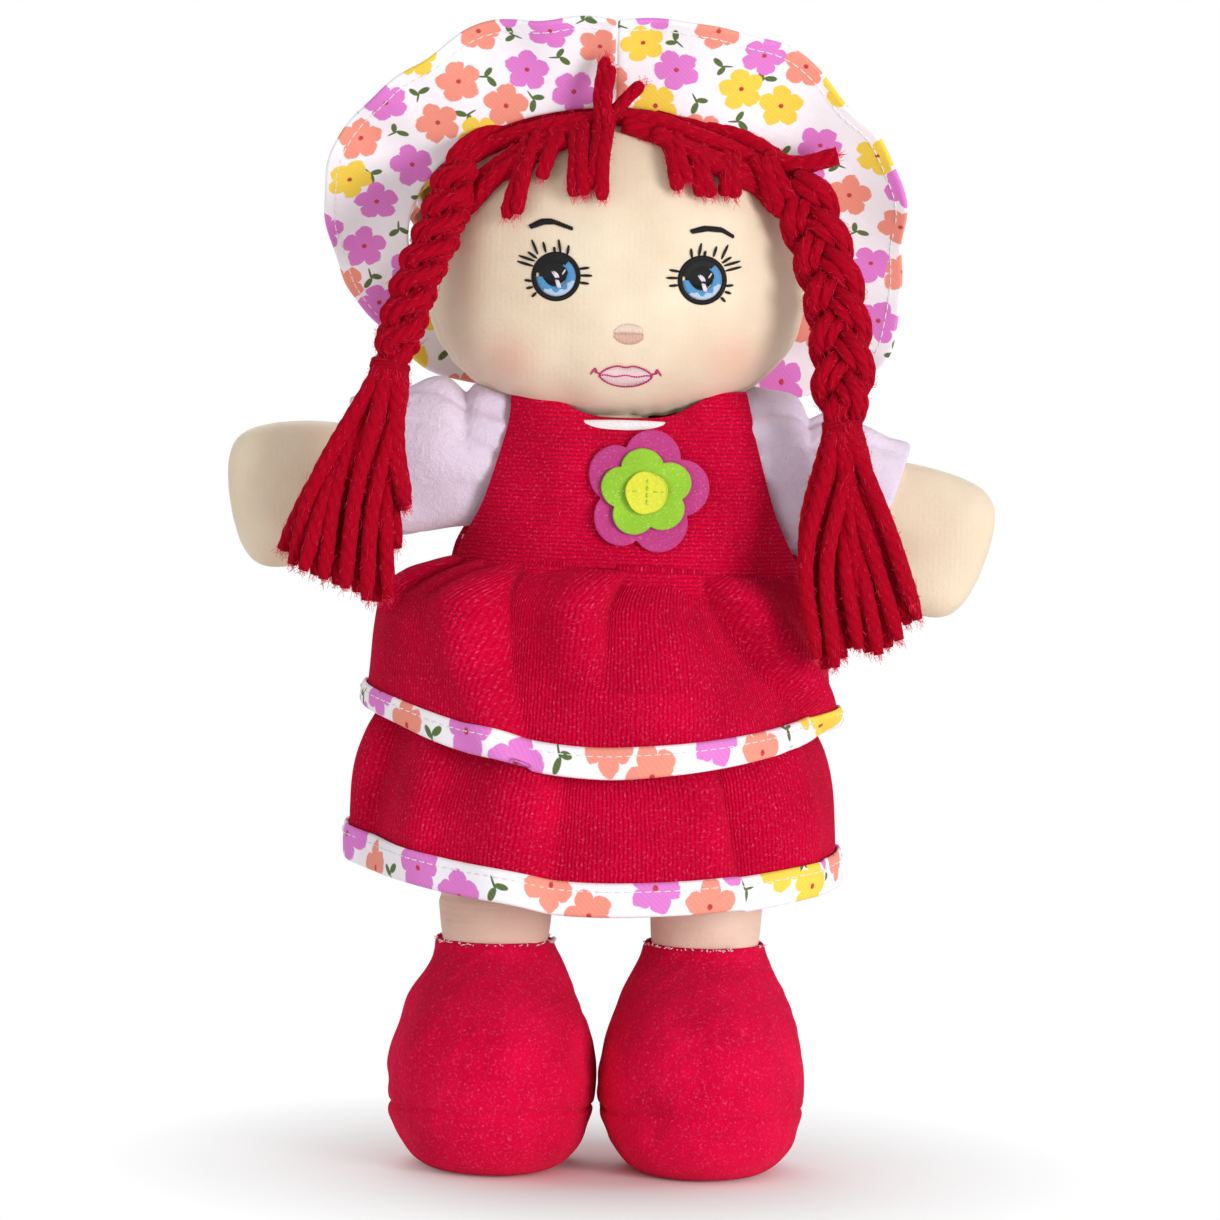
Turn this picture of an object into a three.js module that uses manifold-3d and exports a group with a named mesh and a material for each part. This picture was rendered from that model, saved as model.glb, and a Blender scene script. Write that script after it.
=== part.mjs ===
// A sewn and stuffed rag doll that stands on its shoes: sun hat, yarn plaits, knitted bodice, two-tier skirt.
// Millimetres, +Z up. The doll faces -Y and its own left is +X. The origin is on the floor between the shoes.

import * as THREE from 'three';
import { mergeVertices } from 'three/addons/utils/BufferGeometryUtils.js';
import Module from 'manifold-3d';

const wasm = await Module();
wasm.setup();

// Cloth, and the room between neighbouring pieces
const CLEARANCE = 0.3;
const SKIN_WALL = 1.2;
const FLEECE_WALL = 1.6;
const KNIT_WALL = 1.8;
const OVERRUN = 30;

// Shoes and legs
const SHOE_WIDTH = 63;
const SHOE_LENGTH = 80;
const SHOE_HEIGHT = 72;
const SHOE_TOE_LEAD = 5;
const SOLE_SEAM_HEIGHT = 21;
const SHOE_SPACE = 1;
const LEG_WIDTH = 36;
const LEG_DEPTH = 34;
const LEG_SHOW = 55;
const LEG_IN_SHOE = 12;
const LEG_SWING_DEG = 25;

// Torso bag, neck and clothes
const TORSO_HEIGHT = 113;
const TORSO_WIDTH = 96;
const TORSO_DEPTH = 51;
const HIP_RISE = 7;
const CROTCH_WIDTH = 25;
const NECK_RADIUS = 11.5;
const NECK_SINK = 14;
const NECK_BELOW_SHOULDER = 7;
const NOD_FORWARD_DEG = 4;
const NOD_BACK_DEG = 12;
const COLLAR_HEIGHT = 2.5;
const COLLAR_WALL = 1.4;
const BODICE_BELOW_WAIST = 2;

// Arms and hands
const SHOULDER_INSET = 12;
const SHOULDER_DROP = 19;
const SLEEVE_WIDTH = 35;
const SLEEVE_DEPTH = 30;
const SLEEVE_LENGTH = 48;
const RIGHT_ARM_DROP_DEG = 10;
const LEFT_ARM_DROP_DEG = 19;
const ARM_RAISE_DEG = 25;
const ARM_LOWER_DEG = 10;
const HAND_LENGTH = 31;
const LEFT_HAND_EXTRA = 1.8;
const HAND_WIDTH = 39;
const HAND_DEPTH = 22;
const CUFF_SHARE = 0.86;

// Head
const HEAD_RISE = 3;
const HEAD_HEIGHT = 97;
const HEAD_WIDTH = 114;
const HEAD_DEPTH = 76;
const CHEEK_HEIGHT = 36;
const CHIN_ROUNDNESS = 3;
const CROWN_ROUNDNESS = 2.3;

// Sun hat
const HAT_WALL = 2;
const HAIR_ROOM = 3;
const CROWN_DEPTH = 37;
const HAT_TILT_DEG = 35;
const BRIM_TILT_DEG = 30;
const BRIM_SIDE_REACH = 28;
const BRIM_END_REACH = 19.5;
const BRIM_LEAD = 9;
const BRIM_RISE = 7.5;
const BRIM_WAVE = 2.2;
const BRIM_CUP = 2;

// Hair
const PLAIT_SWING = 6.4;
const PLAIT_SWING_DEEP = 5.4;
const STRAND_RADIUS = 2.75;
const PLAIT_PITCH = 42;
const RIGHT_PLAIT_DROP = 52;
const LEFT_PLAIT_DROP = 70;
const PLAIT_OUTSET = 66;
const PLAIT_LEAD = 37;
const TIE_WIRE_RADIUS = 0.9;
const TIE_PITCH = 2.4;
const TIE_LOOPS = 3;
const TIE_SPACE = 0.45;
const BUNCH_RADIUS = 6.2;
const BUNCH_LENGTH = 14;
const TASSEL_YARN_RADIUS = 2.8;
const TASSEL_DROP = 62;
const FRINGE_YARN_RADIUS = 3;
const TUFT_RADIUS = 2.4;

// Skirt
const SKIRT_CLOTH = 2;
const SKIRT_HEADER_SPREAD = 17;
const UPPER_TIER_DROP = 40;
const LOWER_TIER_DROP = 47;
const HEM_WIDTH = 154;
const HEM_DEPTH = 121;
const BINDING_HEIGHT = 9;
const BINDING_WALL = 1.6;
const FOLD_DEPTH = 1.8;
const FRONT_DIP_UPPER = 12;
const FRONT_DIP_LOWER = 8;

// Felt flower
const FLOWER_WIDTH = 37;
const FLOWER_RING_WIDTH = 27;
const FLOWER_EYE_WIDTH = 13;
const FELT = 1.4;
const FLOWER_ASIDE = 9;
const FLOWER_BELOW_SHOULDER = 27.5;

// Counts, powers and shares
const ROUND_SIDES = 24;
const SHOE_SIDES = 20;
const LIMB_SIDES = 14;
const INNER_SIDES = 12;
const HEAD_RINGS = 11;
const POLE_SHARE = 0.3;
const SKIRT_FOLDS = 11;
const SKIRT_SIDES = 4 * SKIRT_FOLDS;
const BRIM_STEPS = 18;
const YARN_SIDES = 6;
const PETALS = 5;

// Heights that follow from the sizes above
const HIP_HEIGHT = SHOE_HEIGHT + LEG_SHOW;
const FOOT_X = (SHOE_WIDTH + SHOE_SPACE) / 2;
const TORSO_BASE = HIP_HEIGHT - HIP_RISE;
const TORSO_TOP = TORSO_BASE + TORSO_HEIGHT;
const NOD_HEIGHT = TORSO_TOP - NECK_BELOW_SHOULDER;
const CHIN_HEIGHT = NOD_HEIGHT + HEAD_RISE;
const WAIST_SHARE = 0.535;
const WAIST_HEIGHT = TORSO_BASE + WAIST_SHARE * TORSO_HEIGHT;

const rad = THREE.MathUtils.degToRad;
const lerp = THREE.MathUtils.lerp;
const vec = (x, y, z) => new THREE.Vector3(x, y, z);
const move = (x, y, z) => new THREE.Matrix4().makeTranslation(x, y, z);

// Geometry helpers

/** Signed volume of an indexed triangle mesh; negative when its faces point inwards. */
function signedVolume(geometry) {
  const at = geometry.attributes.position;
  const index = geometry.index.array;
  const [a, b, c] = [vec(), vec(), vec()];
  let sum = 0;
  for (let i = 0; i < index.length; i += 3) {
    a.fromBufferAttribute(at, index[i]);
    b.fromBufferAttribute(at, index[i + 1]);
    c.fromBufferAttribute(at, index[i + 2]);
    sum += a.dot(b.cross(c));
  }
  return sum / 6;
}

/** Closed skin through rings with equal point counts. Fans close the two end rings. */
function skin(rings) {
  const sides = rings[0].length;
  const points = rings.flat();
  const index = [];
  for (let i = 0; i + 1 < rings.length; i++) {
    for (let j = 0; j < sides; j++) {
      const here = i * sides + j;
      const beside = i * sides + ((j + 1) % sides);
      index.push(here, beside, beside + sides, here, beside + sides, here + sides);
    }
  }
  for (const [ring, start] of [[rings[0], 0], [rings.at(-1), (rings.length - 1) * sides]]) {
    const middle = points.length;
    points.push(ring.reduce((sum, p) => sum.add(p), vec(0, 0, 0)).divideScalar(sides));
    for (let j = 0; j < sides; j++) {
      const pair = [start + ((j + 1) % sides), start + j];
      index.push(middle, ...(start === 0 ? pair : pair.reverse()));
    }
  }
  const geometry = new THREE.BufferGeometry().setFromPoints(points);
  geometry.setIndex(index);
  if (signedVolume(geometry) < 0) {
    for (let i = 0; i < index.length; i += 3) [index[i], index[i + 1]] = [index[i + 1], index[i]];
    geometry.setIndex(index);
  }
  return geometry;
}

/** Horizontal oval of half sizes a and b about (0, y, z). */
function oval(a, b, y, z, sides) {
  return Array.from({ length: sides }, (_, k) => {
    const turn = (2 * Math.PI * k) / sides;
    return vec(a * Math.cos(turn), y + b * Math.sin(turn), z);
  });
}

/**
 * Stuffed bag: rows are [height, width, depth, lead] shares of its size, grown all round by grow. Hidden
 * inner faces have few sides and leave out every second row.
 */
function bag(rows, size, grow = 0, sides = ROUND_SIDES) {
  const kept = rows.filter((_, i) => sides > INNER_SIDES || i % 2 === 0 || i === rows.length - 1);
  return skin(kept.map(([up, wide, deep, lead = 0], i) => {
    const ends = i === 0 ? -grow : i === kept.length - 1 ? grow : 0;
    const z = size.base + up * size.height + ends;
    const half = [(wide * size.width) / 2 + grow, (deep * size.depth) / 2 + grow];
    return oval(...half, -lead * (size.lead ?? 0), z, sides);
  }));
}

/** Manifold solid of a three.js geometry, placed by a matrix. */
function solid(geometry, matrix = new THREE.Matrix4()) {
  const bare = new THREE.BufferGeometry();
  bare.setAttribute('position', geometry.attributes.position.clone().applyMatrix4(matrix));
  if (geometry.index) bare.setIndex(geometry.index.clone());
  const merged = mergeVertices(bare, 1e-4);
  const vertProperties = Float32Array.from(merged.attributes.position.array);
  const triVerts = Uint32Array.from(merged.index.array);
  return new wasm.Manifold(new wasm.Mesh({ numProp: 3, vertProperties, triVerts }));
}

const joined = (solids) => solids.reduce((sum, next) => sum.add(next));

/** three.js geometry of a manifold solid. */
function geometryOf(body) {
  const { vertProperties, triVerts, numProp } = body.getMesh();
  const points = [];
  for (let i = 0; i < vertProperties.length; i += numProp) points.push(...vertProperties.subarray(i, i + 3));
  const geometry = new THREE.BufferGeometry();
  geometry.setAttribute('position', new THREE.Float32BufferAttribute(points, 3));
  geometry.setIndex(Array.from(triVerts));
  return geometry;
}

/** Box between two corners. */
function block(low, high) {
  const size = high.clone().sub(low);
  const middle = high.clone().add(low).multiplyScalar(0.5);
  return solid(new THREE.BoxGeometry(size.x, size.y, size.z), move(middle.x, middle.y, middle.z));
}

const FAR = 2 * (TORSO_HEIGHT + HEAD_HEIGHT + HIP_HEIGHT);
const frontHalf = () => block(vec(-FAR, -FAR, -FAR), vec(FAR, -CLEARANCE / 2, FAR));
const backHalf = () => block(vec(-FAR, CLEARANCE / 2, -FAR), vec(FAR, FAR, FAR));
const above = (z) => block(vec(-FAR, -FAR, z), vec(FAR, FAR, FAR));
const below = (z) => block(vec(-FAR, -FAR, -FAR), vec(FAR, FAR, z));

/** Round rod along a curve, with flat ends. */
function rod(curve, radius, sides, steps) {
  const points = Array.from({ length: sides }, (_, k) => {
    const turn = (2 * Math.PI * k) / sides;
    return new THREE.Vector2(radius * Math.cos(turn), radius * Math.sin(turn));
  });
  const shape = new THREE.Shape(points);
  return new THREE.ExtrudeGeometry(shape, { steps, extrudePath: curve, bevelEnabled: false });
}

/**
 * Room swept by a limb of half width r that hangs down from the origin and swings to both sides: an arc above
 * the pivot, straight sides at the two limits, extruded square to the plane of the swing.
 */
function swingRoom(r, towards, away, reach, thick) {
  const shape = new THREE.Shape();
  const [a, b] = [rad(towards), rad(away)];
  shape.moveTo(r * Math.cos(a) + reach * Math.sin(a), r * Math.sin(a) - reach * Math.cos(a));
  shape.lineTo(r * Math.cos(a), r * Math.sin(a));
  shape.absarc(0, 0, r, a, Math.PI - b, false);
  shape.lineTo(-r * Math.cos(b) - reach * Math.sin(b), r * Math.sin(b) - reach * Math.cos(b));
  const room = new THREE.ExtrudeGeometry(shape, { depth: thick, bevelEnabled: false, curveSegments: 10 });
  return room.translate(0, 0, -thick / 2).rotateX(Math.PI / 2);
}

// Materials

const material = (color, roughness) => new THREE.MeshStandardMaterial({ color, roughness, metalness: 0 });
const satin = () => material(0xe8d9c0, 0.45);
const skinCloth = () => material(0xe1c8b2, 0.8);
const liningCloth = () => material(0xe6dccb, 0.9);
const fibrefill = () => material(0xf4f2ec, 0.95);
const redKnit = () => material(0xc80030, 0.85);
const redFleece = () => material(0xd01030, 0.95);
const lilacFleece = () => material(0xe4d8e8, 0.95);
const redYarn = () => material(0xc41428, 0.8);
const flowerCotton = () => material(0xf6f2ec, 0.8);
const pinkFelt = () => material(0xd25096, 0.95);
const greenFelt = () => material(0xa5d74b, 0.95);
const yellowFelt = () => material(0xf0f05a, 0.95);

/** Largest body of a cut solid: the loose off-cuts of a cut are left out. */
const mainBody = (cut) => cut.decompose().sort((a, b) => b.volume() - a.volume())[0];

/** Named mesh of one sub-part from a geometry or a manifold solid. */
function piece(name, shape, finish) {
  const geometry = shape.isBufferGeometry ? shape : geometryOf(mainBody(shape));
  geometry.computeVertexNormals();
  const mesh = new THREE.Mesh(geometry, finish);
  mesh.name = name;
  return mesh;
}

const doll = new THREE.Group();

// Forms that several pieces share

const TORSO_SHARES = [
  [0, 0.74, 0.55], [0.05, 0.9, 0.8], [0.16, 0.98, 0.95], [0.31, 1, 1], [0.46, 0.99, 1],
  [0.56, 0.97, 1], [0.67, 0.92, 1], [0.78, 0.855, 0.98], [0.88, 0.79, 0.9], [0.955, 0.71, 0.72],
  [1, 0.56, 0.5],
];
const torsoSize = { base: TORSO_BASE, height: TORSO_HEIGHT, width: TORSO_WIDTH, depth: TORSO_DEPTH };
const torsoForm = (grow, sides) => solid(bag(TORSO_SHARES, torsoSize, grow, sides));

const CHEEK_SHARE = CHEEK_HEIGHT / HEAD_HEIGHT;

/** Share of the head's width and depth at a rise from -1, the chin, to 1: two superellipse quarters. */
function headShareAt(rise) {
  const power = rise < 0 ? CHIN_ROUNDNESS : CROWN_ROUNDNESS;
  return Math.max(POLE_SHARE, (1 - Math.min(1, Math.abs(rise)) ** power) ** (1 / power));
}
const HEAD_SHARES = Array.from({ length: HEAD_RINGS }, (_, k) => {
  const rise = Math.sin(((2 * k) / (HEAD_RINGS - 1) - 1) * (Math.PI / 2));
  const up = rise < 0 ? CHEEK_SHARE * (1 + rise) : CHEEK_SHARE + (1 - CHEEK_SHARE) * rise;
  return [up, headShareAt(rise), headShareAt(rise)];
});
const headSize = { base: HEAD_RISE, height: HEAD_HEIGHT, width: HEAD_WIDTH, depth: HEAD_DEPTH };
const headForm = (grow, sides) => bag(HEAD_SHARES, headSize, grow, sides);

/** Share of the head's full width and depth at z above the chin. */
function headShare(z) {
  const reach = z < CHEEK_HEIGHT ? CHEEK_HEIGHT : HEAD_HEIGHT - CHEEK_HEIGHT;
  return headShareAt((z - CHEEK_HEIGHT) / reach);
}
const FACE_EDGE_SHARE = 0.97;
const SLOPE_STEP_SHARE = 0.01;

/** Point in the head's frame that lies out in front of the face, at x across and z above the chin. */
function onFace(x, z, out) {
  const [a, b] = [HEAD_WIDTH / 2, HEAD_DEPTH / 2].map((half) => half * headShare(z));
  const across = Math.max(-FACE_EDGE_SHARE, Math.min(FACE_EDGE_SHARE, x / a));
  const lead = b * Math.sqrt(1 - across ** 2);
  const step = SLOPE_STEP_SHARE * HEAD_HEIGHT;
  const slope = (headShare(z + step) - headShare(z - step)) / (2 * step * headShare(z));
  const normal = vec((across * a) / a ** 2, -lead / b ** 2, -slope).normalize();
  return vec(across * a, -lead, z + HEAD_RISE).addScaledVector(normal, out);
}

const TURN_ROOM = 1.3;

/** Room that the head needs above the shoulders as it nods and turns. */
function headRoom(extra) {
  const lean = (degrees) => new THREE.Matrix4().makeRotationX(rad(degrees)).setPosition(0, 0, NOD_HEIGHT);
  const grown = headForm(CLEARANCE + TURN_ROOM + extra, ROUND_SIDES / 2 + 1);
  return joined([0, NOD_FORWARD_DEG, -NOD_BACK_DEG].map((degrees) => solid(grown, lean(degrees))));
}

const SHOULDER_X = TORSO_WIDTH / 2 - SHOULDER_INSET;
const SHOULDER_Z = TORSO_TOP - SHOULDER_DROP;
const SIDES = { right: -1, left: 1 };
const ARM_DROP_DEG = { right: RIGHT_ARM_DROP_DEG, left: LEFT_ARM_DROP_DEG };

/** Matrix from the frame of an arm, which hangs along -Z, to the doll's. */
function armFrame(side) {
  const turn = SIDES[side] * -(90 - ARM_DROP_DEG[side]);
  return new THREE.Matrix4().makeRotationY(rad(turn)).setPosition(SIDES[side] * SHOULDER_X, 0, SHOULDER_Z);
}
function armholes(extra) {
  return joined(Object.keys(SIDES).map((side) => {
    const [up, down] = side === 'left' ? [ARM_RAISE_DEG, ARM_LOWER_DEG] : [ARM_LOWER_DEG, ARM_RAISE_DEG];
    const radius = SLEEVE_WIDTH / 2 + CLEARANCE + extra;
    const room = swingRoom(radius, up, down, OVERRUN, SLEEVE_DEPTH + 2 * (CLEARANCE + extra));
    return solid(room, armFrame(side));
  }));
}
function hipSockets(extra) {
  return joined(Object.values(SIDES).map((side) => {
    const radius = LEG_DEPTH / 2 + CLEARANCE + extra;
    const width = FOOT_X + LEG_WIDTH - CROTCH_WIDTH / 2 + 2 * extra;
    const middle = side * (CROTCH_WIDTH / 2 - 2 * extra + width / 2 + extra);
    const room = swingRoom(radius, LEG_SWING_DEG, LEG_SWING_DEG, OVERRUN, width);
    return solid(room, new THREE.Matrix4().makeRotationZ(Math.PI / 2).setPosition(middle, 0, HIP_HEIGHT));
  }));
}

// Torso: a bag sewn from a front and a back panel, stuffed, under a knitted bodice

const column = (radius, low, high) =>
  solid(new THREE.CylinderGeometry(radius, radius, high - low, LIMB_SIDES).rotateX(Math.PI / 2),
    move(0, 0, (low + high) / 2));
function neckHole(extra) {
  const room = CLEARANCE + extra;
  return column(NECK_RADIUS + room, NOD_HEIGHT - NECK_SINK - room, NOD_HEIGHT + OVERRUN);
}

const torso = new THREE.Group();
const torsoCuts = (extra) => joined([armholes(extra), headRoom(extra), neckHole(extra)]);
const torsoSkin = torsoForm(0, LIMB_SIDES).subtract(torsoForm(-SKIN_WALL, INNER_SIDES))
  .subtract(torsoCuts(0)).subtract(hipSockets(0));
torso.add(piece('torso_front', torsoSkin.intersect(frontHalf()), liningCloth()));
torso.add(piece('torso_back', torsoSkin.intersect(backHalf()), liningCloth()));
const torsoFill = torsoForm(-SKIN_WALL - CLEARANCE, INNER_SIDES)
  .subtract(torsoCuts(0)).subtract(hipSockets(0));
torso.add(piece('torso_stuffing', torsoFill, fibrefill()));

const bodiceOut = CLEARANCE + KNIT_WALL;
const bodice = torsoForm(bodiceOut).subtract(torsoForm(CLEARANCE, LIMB_SIDES)).subtract(torsoCuts(0))
  .intersect(above(WAIST_HEIGHT - BODICE_BELOW_WAIST));
torso.add(piece('bodice_front', bodice.intersect(frontHalf()), redKnit()));
torso.add(piece('bodice_back', bodice.intersect(backHalf()), redKnit()));

// Collar: a white band that lies round the neck opening, over the bodice's edge
const COLLAR_BELOW_CHIN = 2.2;
const collarTop = CHIN_HEIGHT - COLLAR_BELOW_CHIN;
const collarBand = torsoForm(bodiceOut + CLEARANCE + COLLAR_WALL).subtract(torsoForm(bodiceOut + CLEARANCE))
  .intersect(above(collarTop - COLLAR_HEIGHT)).intersect(below(collarTop))
  .subtract(joined([armholes(0), headRoom(0)])).intersect(frontHalf());
torso.add(piece('collar', collarBand, flowerCotton()));

// Felt flower: three layers cut from sheet, lying on the curve of the bodice and sewn through the middle
const PETAL_STEPS = 6;
const PETAL_ROUNDNESS = 0.8;
function petalOutline(width, wave, startDegrees) {
  const steps = PETAL_STEPS * PETALS;
  return new THREE.Shape(Array.from({ length: steps }, (_, k) => {
    const turn = (2 * Math.PI * k) / steps;
    const lobe = Math.abs(Math.cos((PETALS * turn) / 2)) ** PETAL_ROUNDNESS;
    const radius = (width / 2) * (1 - wave + wave * lobe);
    return new THREE.Vector2(radius, 0).rotateAround(new THREE.Vector2(), turn + rad(startDegrees));
  }));
}
const PETAL_WAVE_SHARE = 0.24;
const PETALS_START_DEG = 80;
const RING_START_DEG = 98;
const FLOWER_Z = TORSO_TOP - FLOWER_BELOW_SHOULDER;
function feltLayer(outline, near) {
  const prism = new THREE.ExtrudeGeometry(outline, { depth: TORSO_DEPTH, bevelEnabled: false });
  prism.rotateX(Math.PI / 2).translate(FLOWER_ASIDE, 0, FLOWER_Z);
  return solid(prism).intersect(torsoForm(near + FELT)).subtract(torsoForm(near));
}
const flowerNear = bodiceOut + CLEARANCE;
const petals = feltLayer(petalOutline(FLOWER_WIDTH, PETAL_WAVE_SHARE, PETALS_START_DEG), flowerNear);
torso.add(piece('flower_petals', petals, pinkFelt()));
const ringOutline = petalOutline(FLOWER_RING_WIDTH, PETAL_WAVE_SHARE, RING_START_DEG);
const ring = feltLayer(ringOutline, flowerNear + FELT + CLEARANCE);
torso.add(piece('flower_ring', ring, greenFelt()));
const eye = feltLayer(petalOutline(FLOWER_EYE_WIDTH, 0, 0), flowerNear + 2 * (FELT + CLEARANCE));
torso.add(piece('flower_centre', eye, yellowFelt()));

// Skirt: two gathered tiers that hang from the waist seam, each with a folded binding at its edge

/** Ring of a tier of half sizes a and b at height z, with folds, that dips in front and behind. */
function skirtRing([a, b, z, dip, fold], phase) {
  return Array.from({ length: SKIRT_SIDES }, (_, k) => {
    const turn = (2 * Math.PI * k) / SKIRT_SIDES;
    const wave = fold * Math.cos(SKIRT_FOLDS * turn + phase);
    return vec((a + wave) * Math.cos(turn), (b + wave) * Math.sin(turn), z - dip * Math.sin(turn) ** 2);
  });
}
/** Closed cloth tube from outer rings; the inner face lies one wall inside. rows: [a, b, z, dip, fold]. */
function clothTube(rows, wall, phase) {
  const outer = rows.map((row) => skirtRing(row, phase));
  const inner = rows.map(([a, b, ...rest]) => skirtRing([a - wall, b - wall, ...rest], phase));
  const loop = [...outer, ...inner.reverse()];
  const sides = SKIRT_SIDES;
  const index = [];
  for (let i = 0; i < loop.length; i++) {
    const next = (i + 1) % loop.length;
    for (let j = 0; j < sides; j++) {
      const beside = (j + 1) % sides;
      index.push(i * sides + j, i * sides + beside, next * sides + beside);
      index.push(i * sides + j, next * sides + beside, next * sides + j);
    }
  }
  const geometry = new THREE.BufferGeometry().setFromPoints(loop.flat());
  geometry.setIndex(index);
  if (signedVolume(geometry) < 0) {
    for (let i = 0; i < index.length; i += 3) [index[i], index[i + 1]] = [index[i + 1], index[i]];
    geometry.setIndex(index);
  }
  return geometry;
}
const waistA = TORSO_WIDTH / 2 + bodiceOut + CLEARANCE + SKIRT_CLOTH;
const waistB = TORSO_DEPTH / 2 + bodiceOut + CLEARANCE + SKIRT_CLOTH;
const HEADER_HEIGHT = 4;
const PUFF_DROP = 7;
const PUFF_SHARE = 0.85;
const UPPER_HEM_SHARE = 0.93;
const hemA = HEM_WIDTH / 2;
const hemB = HEM_DEPTH / 2;
const upperHemA = UPPER_HEM_SHARE * hemA - BINDING_WALL - CLEARANCE;
const upperHemB = UPPER_HEM_SHARE * hemB - BINDING_WALL - CLEARANCE;
const puffB = (waistB + upperHemB) / 2;
const upperEnd = WAIST_HEIGHT - UPPER_TIER_DROP;
const upperMiddle = WAIST_HEIGHT - UPPER_TIER_DROP / 2;
const headerMiddle = WAIST_HEIGHT + HEADER_HEIGHT / 2;
const upperRows = [
  [waistA, waistB, WAIST_HEIGHT + HEADER_HEIGHT, 0, 0],
  [waistA + SKIRT_HEADER_SPREAD / 2, (waistB + puffB) / 2, headerMiddle, 0, FOLD_DEPTH / 3],
  [waistA + PUFF_SHARE * SKIRT_HEADER_SPREAD, puffB, WAIST_HEIGHT - PUFF_DROP, 0, FOLD_DEPTH / 2],
  [upperHemA, upperHemB - FOLD_DEPTH, upperMiddle, FRONT_DIP_UPPER / 3, FOLD_DEPTH],
  [upperHemA, upperHemB, upperEnd, FRONT_DIP_UPPER, FOLD_DEPTH],
];
torso.add(piece('skirt_upper_tier', clothTube(upperRows, SKIRT_CLOTH, 0), redKnit()));
const bindingOut = CLEARANCE + BINDING_WALL;
const BINDING_LAP_SHARE = 0.8;
const upperBindingRows = [BINDING_LAP_SHARE, BINDING_LAP_SHARE - 1].map((up) => {
  const drawnIn = up > 0 ? FOLD_DEPTH / 4 : 0;
  const b = upperHemB + bindingOut - drawnIn;
  return [upperHemA + bindingOut, b, upperEnd + up * BINDING_HEIGHT, FRONT_DIP_UPPER, FOLD_DEPTH];
});
torso.add(piece('upper_tier_binding', clothTube(upperBindingRows, BINDING_WALL, 0), flowerCotton()));

const lowerEnd = upperEnd - LOWER_TIER_DROP;
const tuckA = upperHemA - SKIRT_CLOTH - FOLD_DEPTH - CLEARANCE;
const tuckB = upperHemB - SKIRT_CLOTH - FOLD_DEPTH - CLEARANCE;
const LOWER_TUCK = 3;
const LOWER_MIDDLE_SHARE = 0.4;
const LOWER_MIDDLE_WIDTH_SHARE = 0.97;
const LOWER_PHASE = 1;
const lowerMiddle = upperEnd - LOWER_MIDDLE_SHARE * LOWER_TIER_DROP;
const [midA, midB] = [hemA, hemB].map((half) => LOWER_MIDDLE_WIDTH_SHARE * half - bindingOut);
const lowerRows = [
  [tuckA, tuckB - CLEARANCE, upperEnd + LOWER_TUCK, FRONT_DIP_UPPER, 0],
  [tuckA, tuckB, upperEnd - LOWER_TUCK, FRONT_DIP_UPPER, 0],
  [midA, midB, lowerMiddle, FRONT_DIP_UPPER, FOLD_DEPTH],
  [hemA - bindingOut, hemB - bindingOut, lowerEnd + BINDING_HEIGHT, FRONT_DIP_LOWER, FOLD_DEPTH],
  [hemA - bindingOut, hemB - bindingOut, lowerEnd, FRONT_DIP_LOWER, FOLD_DEPTH],
];
torso.add(piece('skirt_lower_tier', clothTube(lowerRows, SKIRT_CLOTH, LOWER_PHASE), redKnit()));
const lowerBindingRows = [BINDING_HEIGHT, -CLEARANCE].map((rise) =>
  [hemA, hemB, lowerEnd + rise, FRONT_DIP_LOWER, FOLD_DEPTH]);
const lowerBinding = clothTube(lowerBindingRows, BINDING_WALL, LOWER_PHASE);
torso.add(piece('lower_tier_binding', lowerBinding, flowerCotton()));
doll.add(torso);

// Legs and shoes: each hangs from its hip, with a rounded top in the torso's socket

const SHOE_SHARES = [
  [0, 0.74, 0.78, 1], [0.04, 0.88, 0.9, 1], [0.16, 0.965, 0.975, 1], [0.29, 0.995, 1, 1], [0.4, 1, 1, 1],
  [0.55, 0.96, 0.96, 1.1], [0.69, 0.88, 0.85, 0.9], [0.8, 0.78, 0.7, 0.3], [0.9, 0.69, 0.58, -0.3],
  [1, 0.63, 0.5, -0.6],
];
const shoeRoom = { height: SHOE_HEIGHT, width: SHOE_WIDTH, depth: SHOE_LENGTH };
const shoeSize = { base: -HIP_HEIGHT, lead: SHOE_TOE_LEAD, ...shoeRoom };
const shoeForm = (grow, sides) => solid(bag(SHOE_SHARES, shoeSize, grow, sides));

const ROOT_FULLNESS = 0.6;

/**
 * Rounded root of a limb: rings of an arc about the pivot, from the top down. A ring shrinks as the cosine of
 * its turn in the plane of the swing, and as a power of it the other way, so that the root fills its socket.
 */
function rootRings(turns, width, depth, grow, sides, swingsDeep) {
  return turns.map((turn) => {
    const [level, rise] = [Math.cos(rad(turn)), Math.sin(rad(turn))];
    const round = ((swingsDeep ? depth : width) / 2 + grow) * level;
    const full = ((swingsDeep ? width : depth) / 2) * level ** ROOT_FULLNESS + grow;
    const up = ((swingsDeep ? depth : width) / 2 + grow) * rise;
    return swingsDeep ? oval(full, round, 0, up, sides) : oval(round, full, 0, up, sides);
  });
}

const LEG_ROOT_TURNS = [75, 55, 35, 15];
const ANKLE_SHARE = 0.92;
const MID_LEG_SHARE = 0.98;
const FOOT_END_SHARE = 0.85;
const legEnd = -LEG_SHOW - LEG_IN_SHOE;
const LEG_ROWS = [
  [0, 1], [-LEG_SHOW / 2, MID_LEG_SHARE], [-LEG_SHOW, ANKLE_SHARE], [legEnd, FOOT_END_SHARE],
];

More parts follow.
